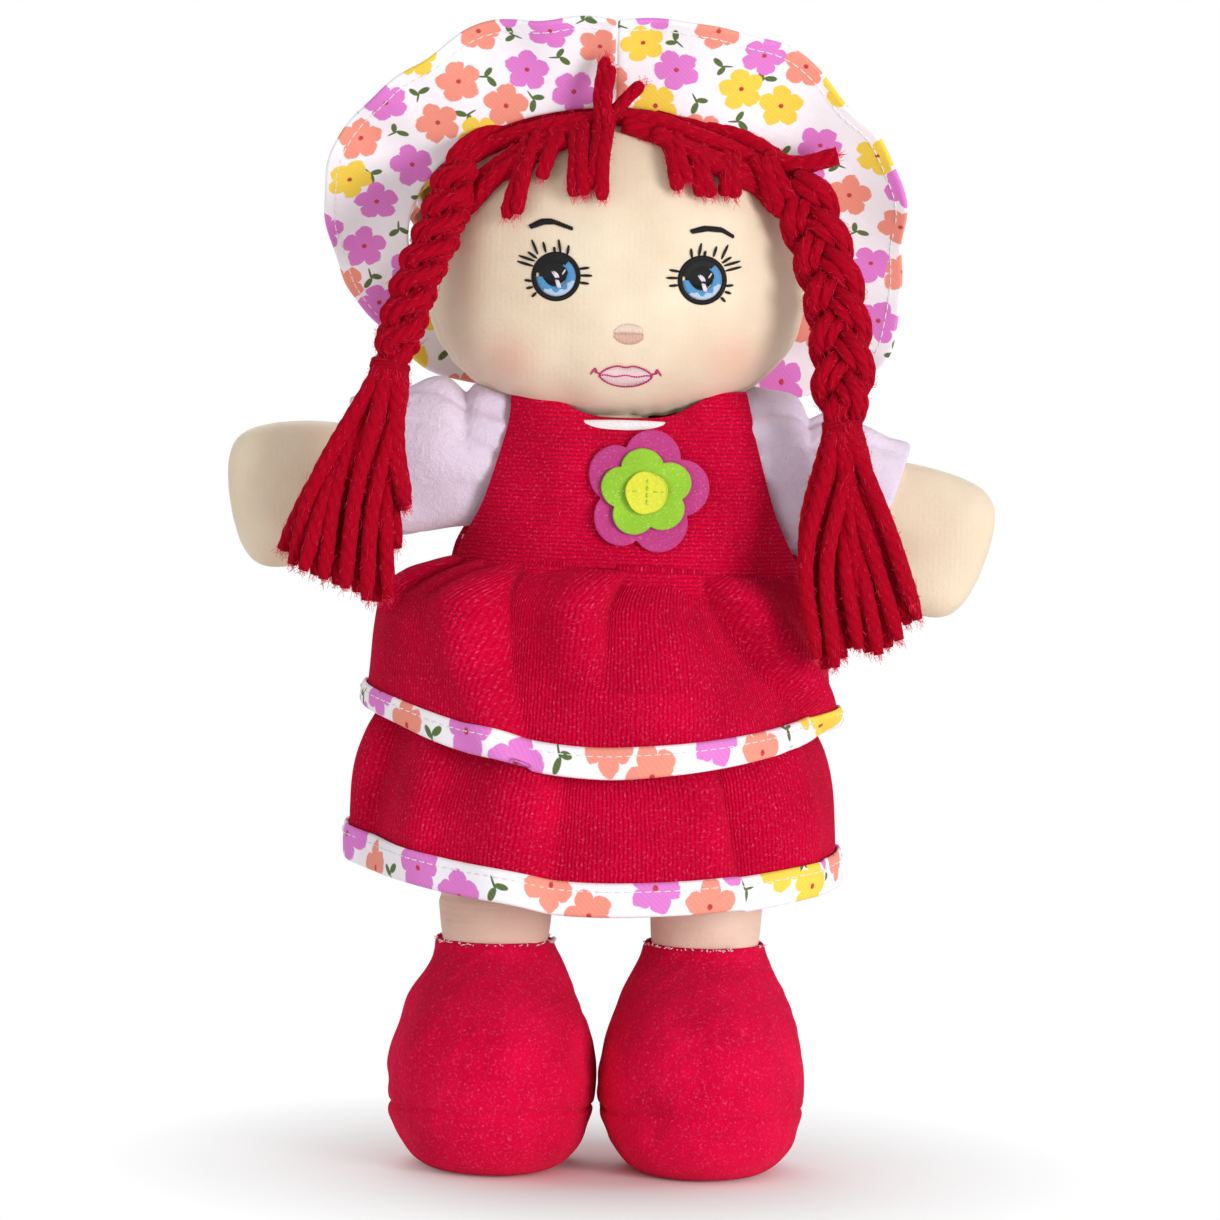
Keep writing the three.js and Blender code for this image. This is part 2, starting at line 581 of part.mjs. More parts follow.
/** Leg from its round top down into the shoe, a slightly tapered column. */
function legForm(grow, sides = LIMB_SIDES) {
  const root = rootRings(LEG_ROOT_TURNS, LEG_WIDTH, LEG_DEPTH, grow, sides, true);
  const rings = LEG_ROWS.map(([z, share], i) => {
    const end = i === LEG_ROWS.length - 1 ? grow : 0;
    return oval((share * LEG_WIDTH) / 2 + grow, (share * LEG_DEPTH) / 2 + grow, 0, z - end, sides);
  });
  return solid(skin([...root, ...rings]));
}
const FOOT_BORE_SHARE = 0.8;
const footBore = () =>
  column((FOOT_BORE_SHARE * LEG_WIDTH) / 2 - SKIN_WALL, legEnd - OVERRUN, legEnd + 2 * SKIN_WALL);
const ankleHole = () =>
  column((ANKLE_SHARE * LEG_WIDTH) / 2 + CLEARANCE, -LEG_SHOW - OVERRUN, -LEG_SHOW + OVERRUN);

for (const [side, sign] of Object.entries(SIDES)) {
  const leg = new THREE.Group();
  leg.position.set(sign * FOOT_X, 0, HIP_HEIGHT);
  const legBore = legForm(-SKIN_WALL, INNER_SIDES).add(footBore());
  leg.add(piece(`${side}_leg`, legForm(0).subtract(legBore), skinCloth()));
  leg.add(piece(`${side}_leg_stuffing`, legForm(-SKIN_WALL - CLEARANCE, INNER_SIDES), fibrefill()));
  const seam = SOLE_SEAM_HEIGHT - HIP_HEIGHT;
  const legHole = legForm(CLEARANCE).add(ankleHole());
  const shell = shoeForm(0, SHOE_SIDES).subtract(shoeForm(-FLEECE_WALL, INNER_SIDES));
  const upper = shell.intersect(above(seam + CLEARANCE / 2)).subtract(legHole);
  leg.add(piece(`${side}_shoe_upper`, upper, redFleece()));
  leg.add(piece(`${side}_shoe_sole`, shell.intersect(below(seam - CLEARANCE / 2)), redFleece()));
  const fill = shoeForm(-FLEECE_WALL - CLEARANCE, INNER_SIDES).subtract(legForm(CLEARANCE));
  leg.add(piece(`${side}_shoe_stuffing`, fill, fibrefill()));
  doll.add(leg);
}

// Arms: a fleece sleeve with a rounded root in the armhole, and a flat mitten hand in its cuff

const CUFF_WIDTH = CUFF_SHARE * SLEEVE_WIDTH;
const CUFF_DEPTH = CUFF_SHARE * SLEEVE_DEPTH;
const SLEEVE_ROOT_TURNS = [75, 50, 25];
const SLEEVE_SHARES = [[0, 1], [0.35, 1], [0.65, 0.99], [0.88, 0.93], [1, CUFF_SHARE]];
function sleeveForm(grow, sides = LIMB_SIDES) {
  const root = rootRings(SLEEVE_ROOT_TURNS, SLEEVE_WIDTH, SLEEVE_DEPTH, grow, sides, false);
  const tube = SLEEVE_SHARES.map(([down, share]) => {
    const half = [SLEEVE_WIDTH, SLEEVE_DEPTH].map((size) => (share * size) / 2 + grow);
    return oval(...half, 0, -down * SLEEVE_LENGTH, sides);
  });
  return solid(skin([...root, ...tube]));
}
const WRIST_ROOM = 0.8;
const rootWidth = CUFF_WIDTH - 2 * (FLEECE_WALL + WRIST_ROOM);
const rootDepth = CUFF_DEPTH - 2 * (FLEECE_WALL + WRIST_ROOM);
const HAND_ROOT_TURNS = [70, 35, 0];
const HAND_SHARES = [
  [0.13, 0.12], [0.26, 0.45], [0.4, 0.85], [0.56, 1], [0.74, 0.99], [0.88, 0.8], [0.96, 0.5], [1, 0.22],
];
const WIDENING_ROWS = 3;

/** Mitten that hangs from the wrist: a round root inside the cuff, then a wide flat palm. Grown all round. */
function handForm(grow, length, sides = LIMB_SIDES) {
  const root = rootRings(HAND_ROOT_TURNS, rootWidth, rootDepth, grow, sides, false);
  const palm = HAND_SHARES.map(([down, share], i) => {
    const widening = i < WIDENING_ROWS;
    const wide = widening ? lerp(rootWidth, HAND_WIDTH, share) : HAND_WIDTH * share;
    const deep = widening ? lerp(rootDepth, HAND_DEPTH, share) : HAND_DEPTH * Math.sqrt(share);
    const end = i === HAND_SHARES.length - 1 ? grow : 0;
    return oval(wide / 2 + grow, deep / 2 + grow, 0, -down * length - end, sides);
  });
  return solid(skin([...root, ...palm]));
}

for (const side of Object.keys(SIDES)) {
  const arm = new THREE.Group();
  arm.applyMatrix4(armFrame(side));
  const cuff = solid(new THREE.CylinderGeometry(1, 1, OVERRUN, LIMB_SIDES).rotateX(Math.PI / 2)
    .scale(CUFF_WIDTH / 2 - FLEECE_WALL, CUFF_DEPTH / 2 - FLEECE_WALL, 1)
    .translate(0, 0, -SLEEVE_LENGTH - OVERRUN / 2 + 2 * FLEECE_WALL));
  const sleeve = sleeveForm(0).subtract(sleeveForm(-FLEECE_WALL, INNER_SIDES)).subtract(cuff);
  arm.add(piece(`${side}_sleeve`, sleeve, lilacFleece()));
  const handTop = -SLEEVE_LENGTH + rootWidth / 2 + CLEARANCE;
  const fill = sleeveForm(-FLEECE_WALL - CLEARANCE, INNER_SIDES).intersect(above(handTop));
  arm.add(piece(`${side}_arm_stuffing`, fill, fibrefill()));

  const hand = new THREE.Group();
  hand.position.z = -SLEEVE_LENGTH;
  const length = HAND_LENGTH + (side === 'left' ? LEFT_HAND_EXTRA : 0);
  const mouth = block(vec(-FAR, -FAR, rootWidth / 4), vec(FAR, FAR, FAR));
  const bore = handForm(-SKIN_WALL, length, INNER_SIDES);
  hand.add(piece(`${side}_hand`, handForm(0, length).subtract(bore).subtract(mouth), satin()));
  const handFill = handForm(-SKIN_WALL - CLEARANCE, length, INNER_SIDES);
  hand.add(piece(`${side}_hand_stuffing`, handFill, fibrefill()));
  arm.add(hand);
  doll.add(arm);
}

// Neck: a short stuffed tube, round at its top where the head nods on it

const NECK_STEPS = 6;
const neckTop = Array.from({ length: NECK_STEPS + 1 }, (_, k) => {
  const turn = (Math.PI / 2) * (k / NECK_STEPS);
  return new THREE.Vector2(k < NECK_STEPS ? NECK_RADIUS * Math.cos(turn) : 0, NECK_RADIUS * Math.sin(turn));
});
const neckFoot = [0, NECK_RADIUS].map((x) => new THREE.Vector2(x, -NECK_SINK));
const neckTube = new THREE.LatheGeometry([...neckFoot, ...neckTop], LIMB_SIDES).rotateX(Math.PI / 2);
const neck = piece('neck', solid(neckTube), satin());
neck.position.z = NOD_HEIGHT;
doll.add(neck);

// Head: a face panel and a back panel sewn together round the edge, stuffed. It turns about the nod axis.

const head = new THREE.Group();
head.position.z = NOD_HEIGHT;
const NOD_RINGS = 12;
const NOD_ROOM = 0.4;
const nodSphere = new THREE.SphereGeometry(NECK_RADIUS + NOD_ROOM, LIMB_SIDES, NOD_RINGS);
const nodBall = solid(nodSphere.rotateX(Math.PI / 2));
const headSkin = solid(headForm(0)).subtract(solid(headForm(-SKIN_WALL, INNER_SIDES))).subtract(nodBall);
head.add(piece('face_panel', headSkin.intersect(frontHalf()), satin()));
head.add(piece('head_back_panel', headSkin.intersect(backHalf()), satin()));
const headFill = solid(headForm(-SKIN_WALL - CLEARANCE, INNER_SIDES)).subtract(nodBall);
head.add(piece('head_stuffing', headFill, fibrefill()));

// Sun hat: a crown behind the head and a brim in two halves round its opening, tilted back

const OPENING_RISE_SHARE = 0.552;
const OPENING_BACK_SHARE = 0.118;
const openingMiddle = vec(0, OPENING_BACK_SHARE * HEAD_DEPTH, HEAD_RISE + OPENING_RISE_SHARE * HEAD_HEIGHT);
const openingUp = vec(0, -Math.sin(rad(HAT_TILT_DEG)), Math.cos(rad(HAT_TILT_DEG)));
const openingBack = vec(0, Math.cos(rad(HAT_TILT_DEG)), Math.sin(rad(HAT_TILT_DEG)));
const openingA = HEAD_WIDTH / 2 + HAIR_ROOM;
const openingB = (HEAD_HEIGHT + HAIR_ROOM) / 2;

/** Loop of the hat's opening: grown by grow and moved back by depth. */
function openingPoint(turn, grow, depth, share = 1) {
  return openingMiddle.clone()
    .addScaledVector(vec(1, 0, 0), (share * openingA + grow) * Math.cos(turn))
    .addScaledVector(openingUp, (share * openingB + grow) * Math.sin(turn))
    .addScaledVector(openingBack, depth);
}
const CROWN_DOME = 2.6;
const CROWN_SHARES = [0, 0.35, 0.65, 0.86, 0.97, 1];
const CROWN_POLE_SHARE = 0.12;

/** Cup of the hat's crown: ovals that shrink as (1 - d ^ n) ^ (1 / n) with the depth d behind the opening. */
function crownForm(grow, start) {
  const rings = CROWN_SHARES.map((down) => {
    const share = Math.max(CROWN_POLE_SHARE, (1 - down ** CROWN_DOME) ** (1 / CROWN_DOME));
    const depth = down === 0 ? start : down * (CROWN_DEPTH + grow);
    return Array.from({ length: BRIM_STEPS }, (_, k) =>
      openingPoint((2 * Math.PI * k) / BRIM_STEPS, grow, depth, share));
  });
  return solid(skin(rings));
}
head.add(piece('hat_crown', crownForm(HAT_WALL, 0).subtract(crownForm(0, -OVERRUN)), flowerCotton()));

const brimUp = vec(0, -Math.sin(rad(BRIM_TILT_DEG)), Math.cos(rad(BRIM_TILT_DEG)));
const brimMiddle = openingMiddle.clone().add(vec(0, -BRIM_LEAD, BRIM_RISE));
const BRIM_SHARES = [0, 0.33, 0.67, 1];
const BRIM_RIPPLES = 5;

/** Point of the brim: share 0 at the crown, 1 at the outer edge, which waves and cups forward. */
function brimPoint(turn, share, back) {
  const inner = openingPoint(turn, HAT_WALL + CLEARANCE, -HAT_WALL / 2);
  const outer = brimMiddle.clone()
    .addScaledVector(vec(1, 0, 0), (openingA + BRIM_SIDE_REACH) * Math.cos(turn))
    .addScaledVector(brimUp, (openingB + BRIM_END_REACH) * Math.sin(turn));
  const wave = BRIM_WAVE * share ** 2 * Math.sin(BRIM_RIPPLES * turn);
  const cup = BRIM_CUP * Math.sin(Math.PI * share);
  return inner.lerp(outer, share).addScaledVector(openingBack, back + cup - wave);
}
for (const [side, sign] of Object.entries(SIDES)) {
  const seam = CLEARANCE / (2 * openingB);
  const rings = Array.from({ length: BRIM_STEPS + 1 }, (_, k) => {
    const turn = Math.PI / 2 - sign * (seam + ((Math.PI - 2 * seam) * k) / BRIM_STEPS);
    const front = BRIM_SHARES.map((share) => brimPoint(turn, share, 0));
    const back = BRIM_SHARES.map((share) => brimPoint(turn, share, HAT_WALL)).reverse();
    return [...front, ...back];
  });
  head.add(piece(`hat_brim_${side}`, skin(rings), flowerCotton()));
}

// Fringe: a yarn along each half of the hairline with locks hanging from it, and a tuft at the parting

const HAIRLINE_RISE = 86;
const HAIRLINE_FALL = 8;
const FRINGE_HALF = 41;
const FRINGE_START = 3.5;
const SEAT = 2 * CLEARANCE;
const BAND_KNOTS = 6;
const BAND_STEPS = 7;
const LOCK_STEPS = 3;
const yarnOut = FRINGE_YARN_RADIUS + SEAT;
const hairlineZ = (x) => HAIRLINE_RISE - HAIRLINE_FALL * (x / FRINGE_HALF) ** 2;
// Each lock: where it leaves the hairline and where its tip lies, as shares of the fringe and of its drop
const LOCK_SHARES = {
  right: [[0.85, 0.8, 1.05], [0.62, 0.56, 0.68], [0.38, 0.34, 0.76], [0.16, 0.14, 0.84]],
  left: [[0.4, 0.42, 0.74], [0.6, 0.64, 0.86], [0.74, 0.78, 0.84], [0.9, 0.88, 0.7]],
};
const LOCK_DROP = 24;
for (const [side, sign] of Object.entries(SIDES)) {
  const along = Array.from({ length: BAND_KNOTS }, (_, k) => {
    const x = lerp(FRINGE_START, FRINGE_HALF, k / (BAND_KNOTS - 1));
    return onFace(sign * x, hairlineZ(x), yarnOut);
  });
  const band = solid(rod(new THREE.CatmullRomCurve3(along), FRINGE_YARN_RADIUS, YARN_SIDES, BAND_STEPS));
  const locks = LOCK_SHARES[side].map(([from, to, drop]) => {
    const top = hairlineZ(from * FRINGE_HALF);
    const points = [0, 0.5, 1].map((down) => {
      const x = sign * FRINGE_HALF * lerp(from, to, down);
      const out = yarnOut + (FRINGE_YARN_RADIUS * Math.sin(Math.PI * down)) / 2;
      return onFace(x, top - down * drop * LOCK_DROP, out);
    });
    return solid(rod(new THREE.CatmullRomCurve3(points), FRINGE_YARN_RADIUS, YARN_SIDES, LOCK_STEPS));
  });
  head.add(piece(`fringe_${side}`, joined([band, ...locks]), redYarn()));
}
const TUFT_HEIGHT = 19;
// Tip of each tuft lock: across, up and forward, as shares of the tuft's height
const TUFT_TIP_SHARES = [[-0.16, 1, 0.47], [0.37, 0.58, 0.37]];
const TUFT_STEPS = 4;
const tuftBase = onFace(0, HAIRLINE_RISE, 2 * FRINGE_YARN_RADIUS - SEAT);
const tuftLocks = TUFT_TIP_SHARES.map(([across, up, lead]) => {
  const tip = tuftBase.clone().addScaledVector(vec(across, -lead, up), TUFT_HEIGHT);
  const mid = tuftBase.clone().lerp(tip, 0.5).add(vec(0, -TUFT_RADIUS / 2, 0));
  const line = new THREE.CatmullRomCurve3([tuftBase.clone(), mid, tip]);
  return solid(rod(line, TUFT_RADIUS, YARN_SIDES, TUFT_STEPS));
});
head.add(piece('hair_tuft', joined(tuftLocks), redYarn()));

// Plaits: three strands each, worked as x = a sin t, y = b sin 2t a third of a turn apart, a tie and a tassel

const ROOT_X_SHARES = { right: 0.92, left: 0.898 };
const PAIRS = [[0, 1], [0, 2], [1, 2]];
const ROOT_Z_SHARE = 0.71;
const ROOT_LEAD = 22;
// Knots of a plait's middle line, as shares of its way outwards, forwards and down
const PLAIT_SHARES = [[0, 0, 0], [0.72, 0.6, 0.42], [0.93, 0.93, 0.8], [1, 1, 1]];

/** Middle line of a plait from the temple down past the cheek to the tie, in the plait's own frame. */
function plaitPath(side) {
  const out = SIDES[side] * (PLAIT_OUTSET - (ROOT_X_SHARES[side] * HEAD_WIDTH) / 2);
  const drop = side === 'left' ? LEFT_PLAIT_DROP : RIGHT_PLAIT_DROP;
  return new THREE.CatmullRomCurve3(PLAIT_SHARES.map(([outwards, forwards, down]) =>
    vec(outwards * out, -forwards * (PLAIT_LEAD - ROOT_LEAD), -down * drop)));
}
/** Frame of a path at a share u: its point, and the directions across, deep and along. */
function frameAt(path, u) {
  const along = path.getTangentAt(u);
  const across = vec(1, 0, 0).addScaledVector(along, -along.x).normalize();
  return { at: path.getPointAt(u), across, deep: along.clone().cross(across), along };
}
class Strand extends THREE.Curve {
  constructor(path, phase) {
    super();
    Object.assign(this, { path, phase, turns: path.getLength() / PLAIT_PITCH });
  }
  getPoint(u) {
    const { at, across, deep } = frameAt(this.path, u);
    const t = 2 * Math.PI * (this.turns * u + this.phase / 3);
    return at.addScaledVector(across, PLAIT_SWING * Math.sin(t))
      .addScaledVector(deep, PLAIT_SWING_DEEP * Math.sin(2 * t));
  }
}
/** Least gap between the yarn surfaces of two runs of points. */
function leastGap(pointsA, pointsB, radius) {
  let least = Infinity;
  for (const a of pointsA) for (const b of pointsB) least = Math.min(least, a.distanceTo(b));
  return least - 2 * radius;
}
class Coil extends THREE.Curve {
  constructor(frame, radius) {
    super();
    Object.assign(this, { frame, radius });
  }
  getPoint(u) {
    const turn = 2 * Math.PI * TIE_LOOPS * u;
    const { at, across, deep, along } = this.frame;
    return at.clone().addScaledVector(across, this.radius * Math.cos(turn))
      .addScaledVector(deep, this.radius * Math.sin(turn))
      .addScaledVector(along, TIE_PITCH * TIE_LOOPS * (u - 0.5));
  }
}
const TIE_STEPS = 10;
const TIE_SIDES = 5;
const STRAND_STEPS = 12;
const GAP_SAMPLES = 300;
const BUNCH_SIDES = 12;
// Outline of the bunch below the tie, as shares of its radius and of half its length
const BUNCH_SHARES = [[0, -1], [0.9, -1], [1, -0.7], [1, 0.7], [0.8, 1], [0, 1]];
const TASSEL_ROOT_SHARE = 0.62;
const TASSEL_RISE_SHARE = 0.8;
const TASSEL_SAG_SHARE = 0.05;
const TASSEL_BOW_SHARE = 0.06;
const TASSEL_STEPS = 4;
// Loose yarns of each tassel: [across, deep, down] of the tip, as shares of the drop
const TASSEL_SHARES = {
  right: [[-0.6, 0, 0.66], [-0.46, -0.06, 0.88], [-0.28, 0.05, 0.98], [-0.1, -0.05, 1], [0.08, 0.05, 0.95],
    [0.26, 0, 0.72]],
  left: [[-0.22, 0, 0.74], [-0.08, -0.06, 1.05], [0.1, 0.05, 0.98], [0.27, -0.05, 1], [0.44, 0.05, 0.94],
    [0.6, 0, 0.8]],
};
for (const [side, sign] of Object.entries(SIDES)) {
  const plait = new THREE.Group();
  const rootZ = HEAD_RISE + ROOT_Z_SHARE * HEAD_HEIGHT;
  plait.position.set((sign * ROOT_X_SHARES[side] * HEAD_WIDTH) / 2, -ROOT_LEAD, rootZ);
  const path = plaitPath(side);
  const strands = [0, 1, 2].map((phase) => new Strand(path, phase));
  const end = frameAt(path, 1);
  const endFrame = new THREE.Matrix4().makeBasis(end.across, end.deep, end.along).setPosition(end.at);
  const untilTie = solid(new THREE.BoxGeometry(FAR, FAR, FAR).translate(0, 0, -FAR / 2), endFrame);
  strands.forEach((strand, k) => {
    const steps = Math.round(strand.turns * STRAND_STEPS);
    const yarn = solid(rod(strand, STRAND_RADIUS, YARN_SIDES, steps)).intersect(untilTie);
    plait.add(piece(`${side}_plait_strand_${k + 1}`, yarn, redYarn()));
  });
  const runs = strands.map((strand) => strand.getPoints(GAP_SAMPLES));
  const gap = Math.min(...PAIRS.map(([i, j]) => leastGap(runs[i], runs[j], STRAND_RADIUS)));
  console.log(`${side} plait: least gap between strands ${gap.toFixed(2)} mm`);

  end.at.addScaledVector(end.along, BUNCH_LENGTH / 2 + CLEARANCE);
  const coil = new Coil(end, BUNCH_RADIUS + TIE_SPACE + TIE_WIRE_RADIUS);
  console.log(`${side} tie: gap between its loops ${(TIE_PITCH - 2 * TIE_WIRE_RADIUS).toFixed(2)} mm`);
  const tie = rod(coil, TIE_WIRE_RADIUS, TIE_SIDES, TIE_STEPS * TIE_LOOPS);
  plait.add(piece(`${side}_plait_tie`, tie, redYarn()));

  const basis = new THREE.Matrix4().makeBasis(end.across, end.deep, end.along).setPosition(end.at);
  const corner = BUNCH_LENGTH / 2;
  const bunchProfile = BUNCH_SHARES.map(([r, z]) => new THREE.Vector2(r * BUNCH_RADIUS, z * corner));
  const bunch = solid(new THREE.LatheGeometry(bunchProfile, BUNCH_SIDES).rotateX(Math.PI / 2), basis);
  const yarns = TASSEL_SHARES[side].map(([across, deep, length], k) => {
    const spread = TASSEL_ROOT_SHARE * BUNCH_RADIUS;
    const turn = (2 * Math.PI * k) / TASSEL_SHARES[side].length;
    const root = vec(spread * Math.cos(turn), spread * Math.sin(turn), -TASSEL_RISE_SHARE * corner);
    const start = end.at.clone().add(root);
    const tip = end.at.clone().addScaledVector(vec(across, deep, -length), TASSEL_DROP);
    const bow = vec(TASSEL_BOW_SHARE * (tip.x - start.x), 0, -TASSEL_SAG_SHARE * TASSEL_DROP);
    const mid = start.clone().lerp(tip, 0.5).add(bow);
    const line = new THREE.CatmullRomCurve3([start, mid, tip]);
    return solid(rod(line, TASSEL_YARN_RADIUS, YARN_SIDES, TASSEL_STEPS));
  });
  plait.add(piece(`${side}_tassel`, joined([bunch, ...yarns]), redYarn()));
  head.add(plait);
}
doll.add(head);

export default doll;
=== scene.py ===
import bpy
import numpy as np
from mathutils import Matrix, Vector


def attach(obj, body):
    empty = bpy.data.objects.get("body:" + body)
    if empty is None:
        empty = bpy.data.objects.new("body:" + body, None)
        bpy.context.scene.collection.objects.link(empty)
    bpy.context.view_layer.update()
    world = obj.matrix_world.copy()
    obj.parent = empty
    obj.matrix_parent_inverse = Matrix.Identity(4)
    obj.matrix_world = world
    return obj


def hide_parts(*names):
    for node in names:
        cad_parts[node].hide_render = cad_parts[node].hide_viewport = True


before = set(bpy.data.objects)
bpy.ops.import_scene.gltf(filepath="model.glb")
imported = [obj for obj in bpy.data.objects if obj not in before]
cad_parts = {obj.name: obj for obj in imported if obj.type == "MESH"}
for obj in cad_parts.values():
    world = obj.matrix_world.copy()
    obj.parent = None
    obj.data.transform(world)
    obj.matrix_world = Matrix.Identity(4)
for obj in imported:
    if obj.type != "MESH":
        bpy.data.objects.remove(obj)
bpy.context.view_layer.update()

# Camera: a long lens a little above the waist, level with the doll's middle. It is rolled slightly, because the
# doll in the picture leans to its left.
VIEW_HEIGHT = 0.1700
VIEW_DISTANCE = 1.9
FRAME_HEIGHT = 0.3715
CAMERA_RISE = np.radians(4.0)
CAMERA_ROLL = np.radians(1.4)
SENSOR = 36.0

camera_data = bpy.data.cameras.new("camera")
camera_data.sensor_width = SENSOR
camera_data.lens = SENSOR * VIEW_DISTANCE / FRAME_HEIGHT
camera_data.clip_end = 20.0
camera = bpy.data.objects.new("camera", camera_data)
bpy.context.scene.collection.objects.link(camera)
away = Vector((0.0, -np.cos(CAMERA_RISE), np.sin(CAMERA_RISE)))
turn = Matrix.Rotation(np.pi / 2 - CAMERA_RISE, 4, "X") @ Matrix.Rotation(CAMERA_ROLL, 4, "Z")
camera.matrix_world = Matrix.Translation(Vector((0.0006, 0.0, VIEW_HEIGHT)) + away * VIEW_DISTANCE) @ turn
bpy.context.scene.camera = camera

# Studio: a pale floor that the doll stands on, one broad soft lamp in front at the right, a weaker one at the
# left, and an even pale surround. The picture's own ground is plain white.
FLOOR_WIDTH = 6.0
FLOOR_SHADED = 0.04
FLOOR_WHITE = 0.15
LAMPS = {
    "key": {"place": (1.25, -1.45, 0.4), "size": 0.8, "power": 21.5},
    "fill": {"place": (-1.5, -1.2, 0.25), "size": 1.2, "power": 6.0},
    "back": {"place": (-0.3, 1.2, 1.4), "size": 1.0, "power": 6.0},
}


def add(tree, kind, settings=None, **inputs):
    """Adds a shader node. Settings are its properties; an input is a value or a socket that is linked to it."""
    node = tree.nodes.new("ShaderNode" + kind)
    for key, value in (settings or {}).items():
        setattr(node, key, value)
    for key, value in inputs.items():
        socket = node.inputs[key.replace("_", " ")]
        if isinstance(value, bpy.types.NodeSocket):
            tree.links.new(value, socket)
        else:
            socket.default_value = value
    return node


def calc(tree, operation, *values, clamp=False):
    """Socket of a Math node with that operation on the values, each a number or a socket."""
    node = tree.nodes.new("ShaderNodeMath")
    node.operation = operation
    node.use_clamp = clamp
    for socket, value in zip(node.inputs, values):
        if isinstance(value, bpy.types.NodeSocket):
            tree.links.new(value, socket)
        else:
            socket.default_value = value
    return node.outputs[0]


def mixed(tree, share, low, high):
    """Socket of the colour low + share * (high - low)."""
    node = tree.nodes.new("ShaderNodeMix")
    node.data_type = "RGBA"
    for socket, value in zip((node.inputs[0], node.inputs[6], node.inputs[7]), (share, low, high)):
        if isinstance(value, bpy.types.NodeSocket):
            tree.links.new(value, socket)
        else:
            socket.default_value = value
    return node.outputs[2]


def rgb(red, green, blue):
    """Linear colour of a screen colour given from 0 to 255."""
    screen = np.array([red, green, blue]) / 255
    linear = np.where(screen <= 0.04045, screen / 12.92, ((screen + 0.055) / 1.055) ** 2.4)
    return (*linear.tolist(), 1.0)


for lamp_name, lamp in LAMPS.items():
    light = bpy.data.lights.new(lamp_name, "AREA")
    light.shape = "DISK"
    light.size = lamp["size"]
    light.energy = lamp["power"]
    holder = bpy.data.objects.new(lamp_name, light)
    holder.location = lamp["place"]
    aim = Vector((0, 0, VIEW_HEIGHT)) - holder.location
    holder.rotation_euler = aim.to_track_quat("-Z", "Y").to_euler()
    bpy.context.scene.collection.objects.link(holder)

surround = bpy.data.worlds.new("surround")
surround.use_nodes = True
air = surround.node_tree
air.nodes.clear()
rays = add(air, "LightPath")
seen = calc(air, "MAXIMUM", rays.outputs["Is Camera Ray"], rays.outputs["Is Glossy Ray"])
glow = add(air, "Background", Color=(1.0, 1.0, 1.0, 1.0), Strength=calc(air, "MULTIPLY_ADD", seen, 0.48, 0.52))
add(air, "OutputWorld", Surface=glow.outputs[0])
bpy.context.scene.world = surround

floor_mesh = bpy.data.meshes.new("floor")
half = FLOOR_WIDTH / 2
floor_mesh.from_pydata([(-half, -half, 0), (half, -half, 0), (half, half, 0), (-half, half, 0)], [], [(0, 1, 2, 3)])
floor = bpy.data.objects.new("floor", floor_mesh)
bpy.context.scene.collection.objects.link(floor)
floor_paint = bpy.data.materials.new("floor")
floor_paint.use_nodes = True
floor_tree = floor_paint.node_tree
floor_shader = floor_tree.nodes["Principled BSDF"]
floor_shader.inputs["Base Color"].default_value = (0.95, 0.95, 0.95, 1.0)
floor_shader.inputs["Roughness"].default_value = 0.8
from_doll = add(floor_tree, "VectorMath", {"operation": "LENGTH"})
floor_tree.links.new(add(floor_tree, "TexCoord").outputs["Object"], from_doll.inputs[0])
fade = calc(floor_tree, "MULTIPLY_ADD", from_doll.outputs["Value"], 1 / (FLOOR_WHITE - FLOOR_SHADED),
            -FLOOR_SHADED / (FLOOR_WHITE - FLOOR_SHADED), clamp=True)
fade = calc(floor_tree, "MULTIPLY", fade, add(floor_tree, "LightPath").outputs["Is Camera Ray"])
white = add(floor_tree, "Emission", Color=(1.0, 1.0, 1.0, 1.0), Strength=1.0)
blank = add(floor_tree, "MixShader", Fac=fade)
floor_tree.links.new(floor_shader.outputs[0], blank.inputs[1])
floor_tree.links.new(white.outputs[0], blank.inputs[2])
floor_tree.links.new(blank.outputs[0], floor_tree.nodes["Material Output"].inputs["Surface"])
floor_mesh.materials.append(floor_paint)

# Head: a stuffed bag of cream satin jersey, sewn round the edge from a face panel and a back panel. The seam
# lies just in front of the widest line, and pulls the cloth into short puckers.
MM = 0.001
CHIN = 229.0
HEAD_HALF_WIDTH = 57.0
HEAD_HALF_DEPTH = 38.0
HEAD_HEIGHT = 97.0
CHEEK_HEIGHT = 36.0
CHIN_ROUNDNESS = 2.2
CROWN_ROUNDNESS = 2.3
HEAD_SEAM_LEAD = 9.0
SATIN = rgb(240, 224, 198)
SATIN_DARK = rgb(229, 208, 180)
BLUSH = rgb(232, 158, 140)
BLUSH_PLACES = ((-31.1, 246.8), (37.0, 248.0))


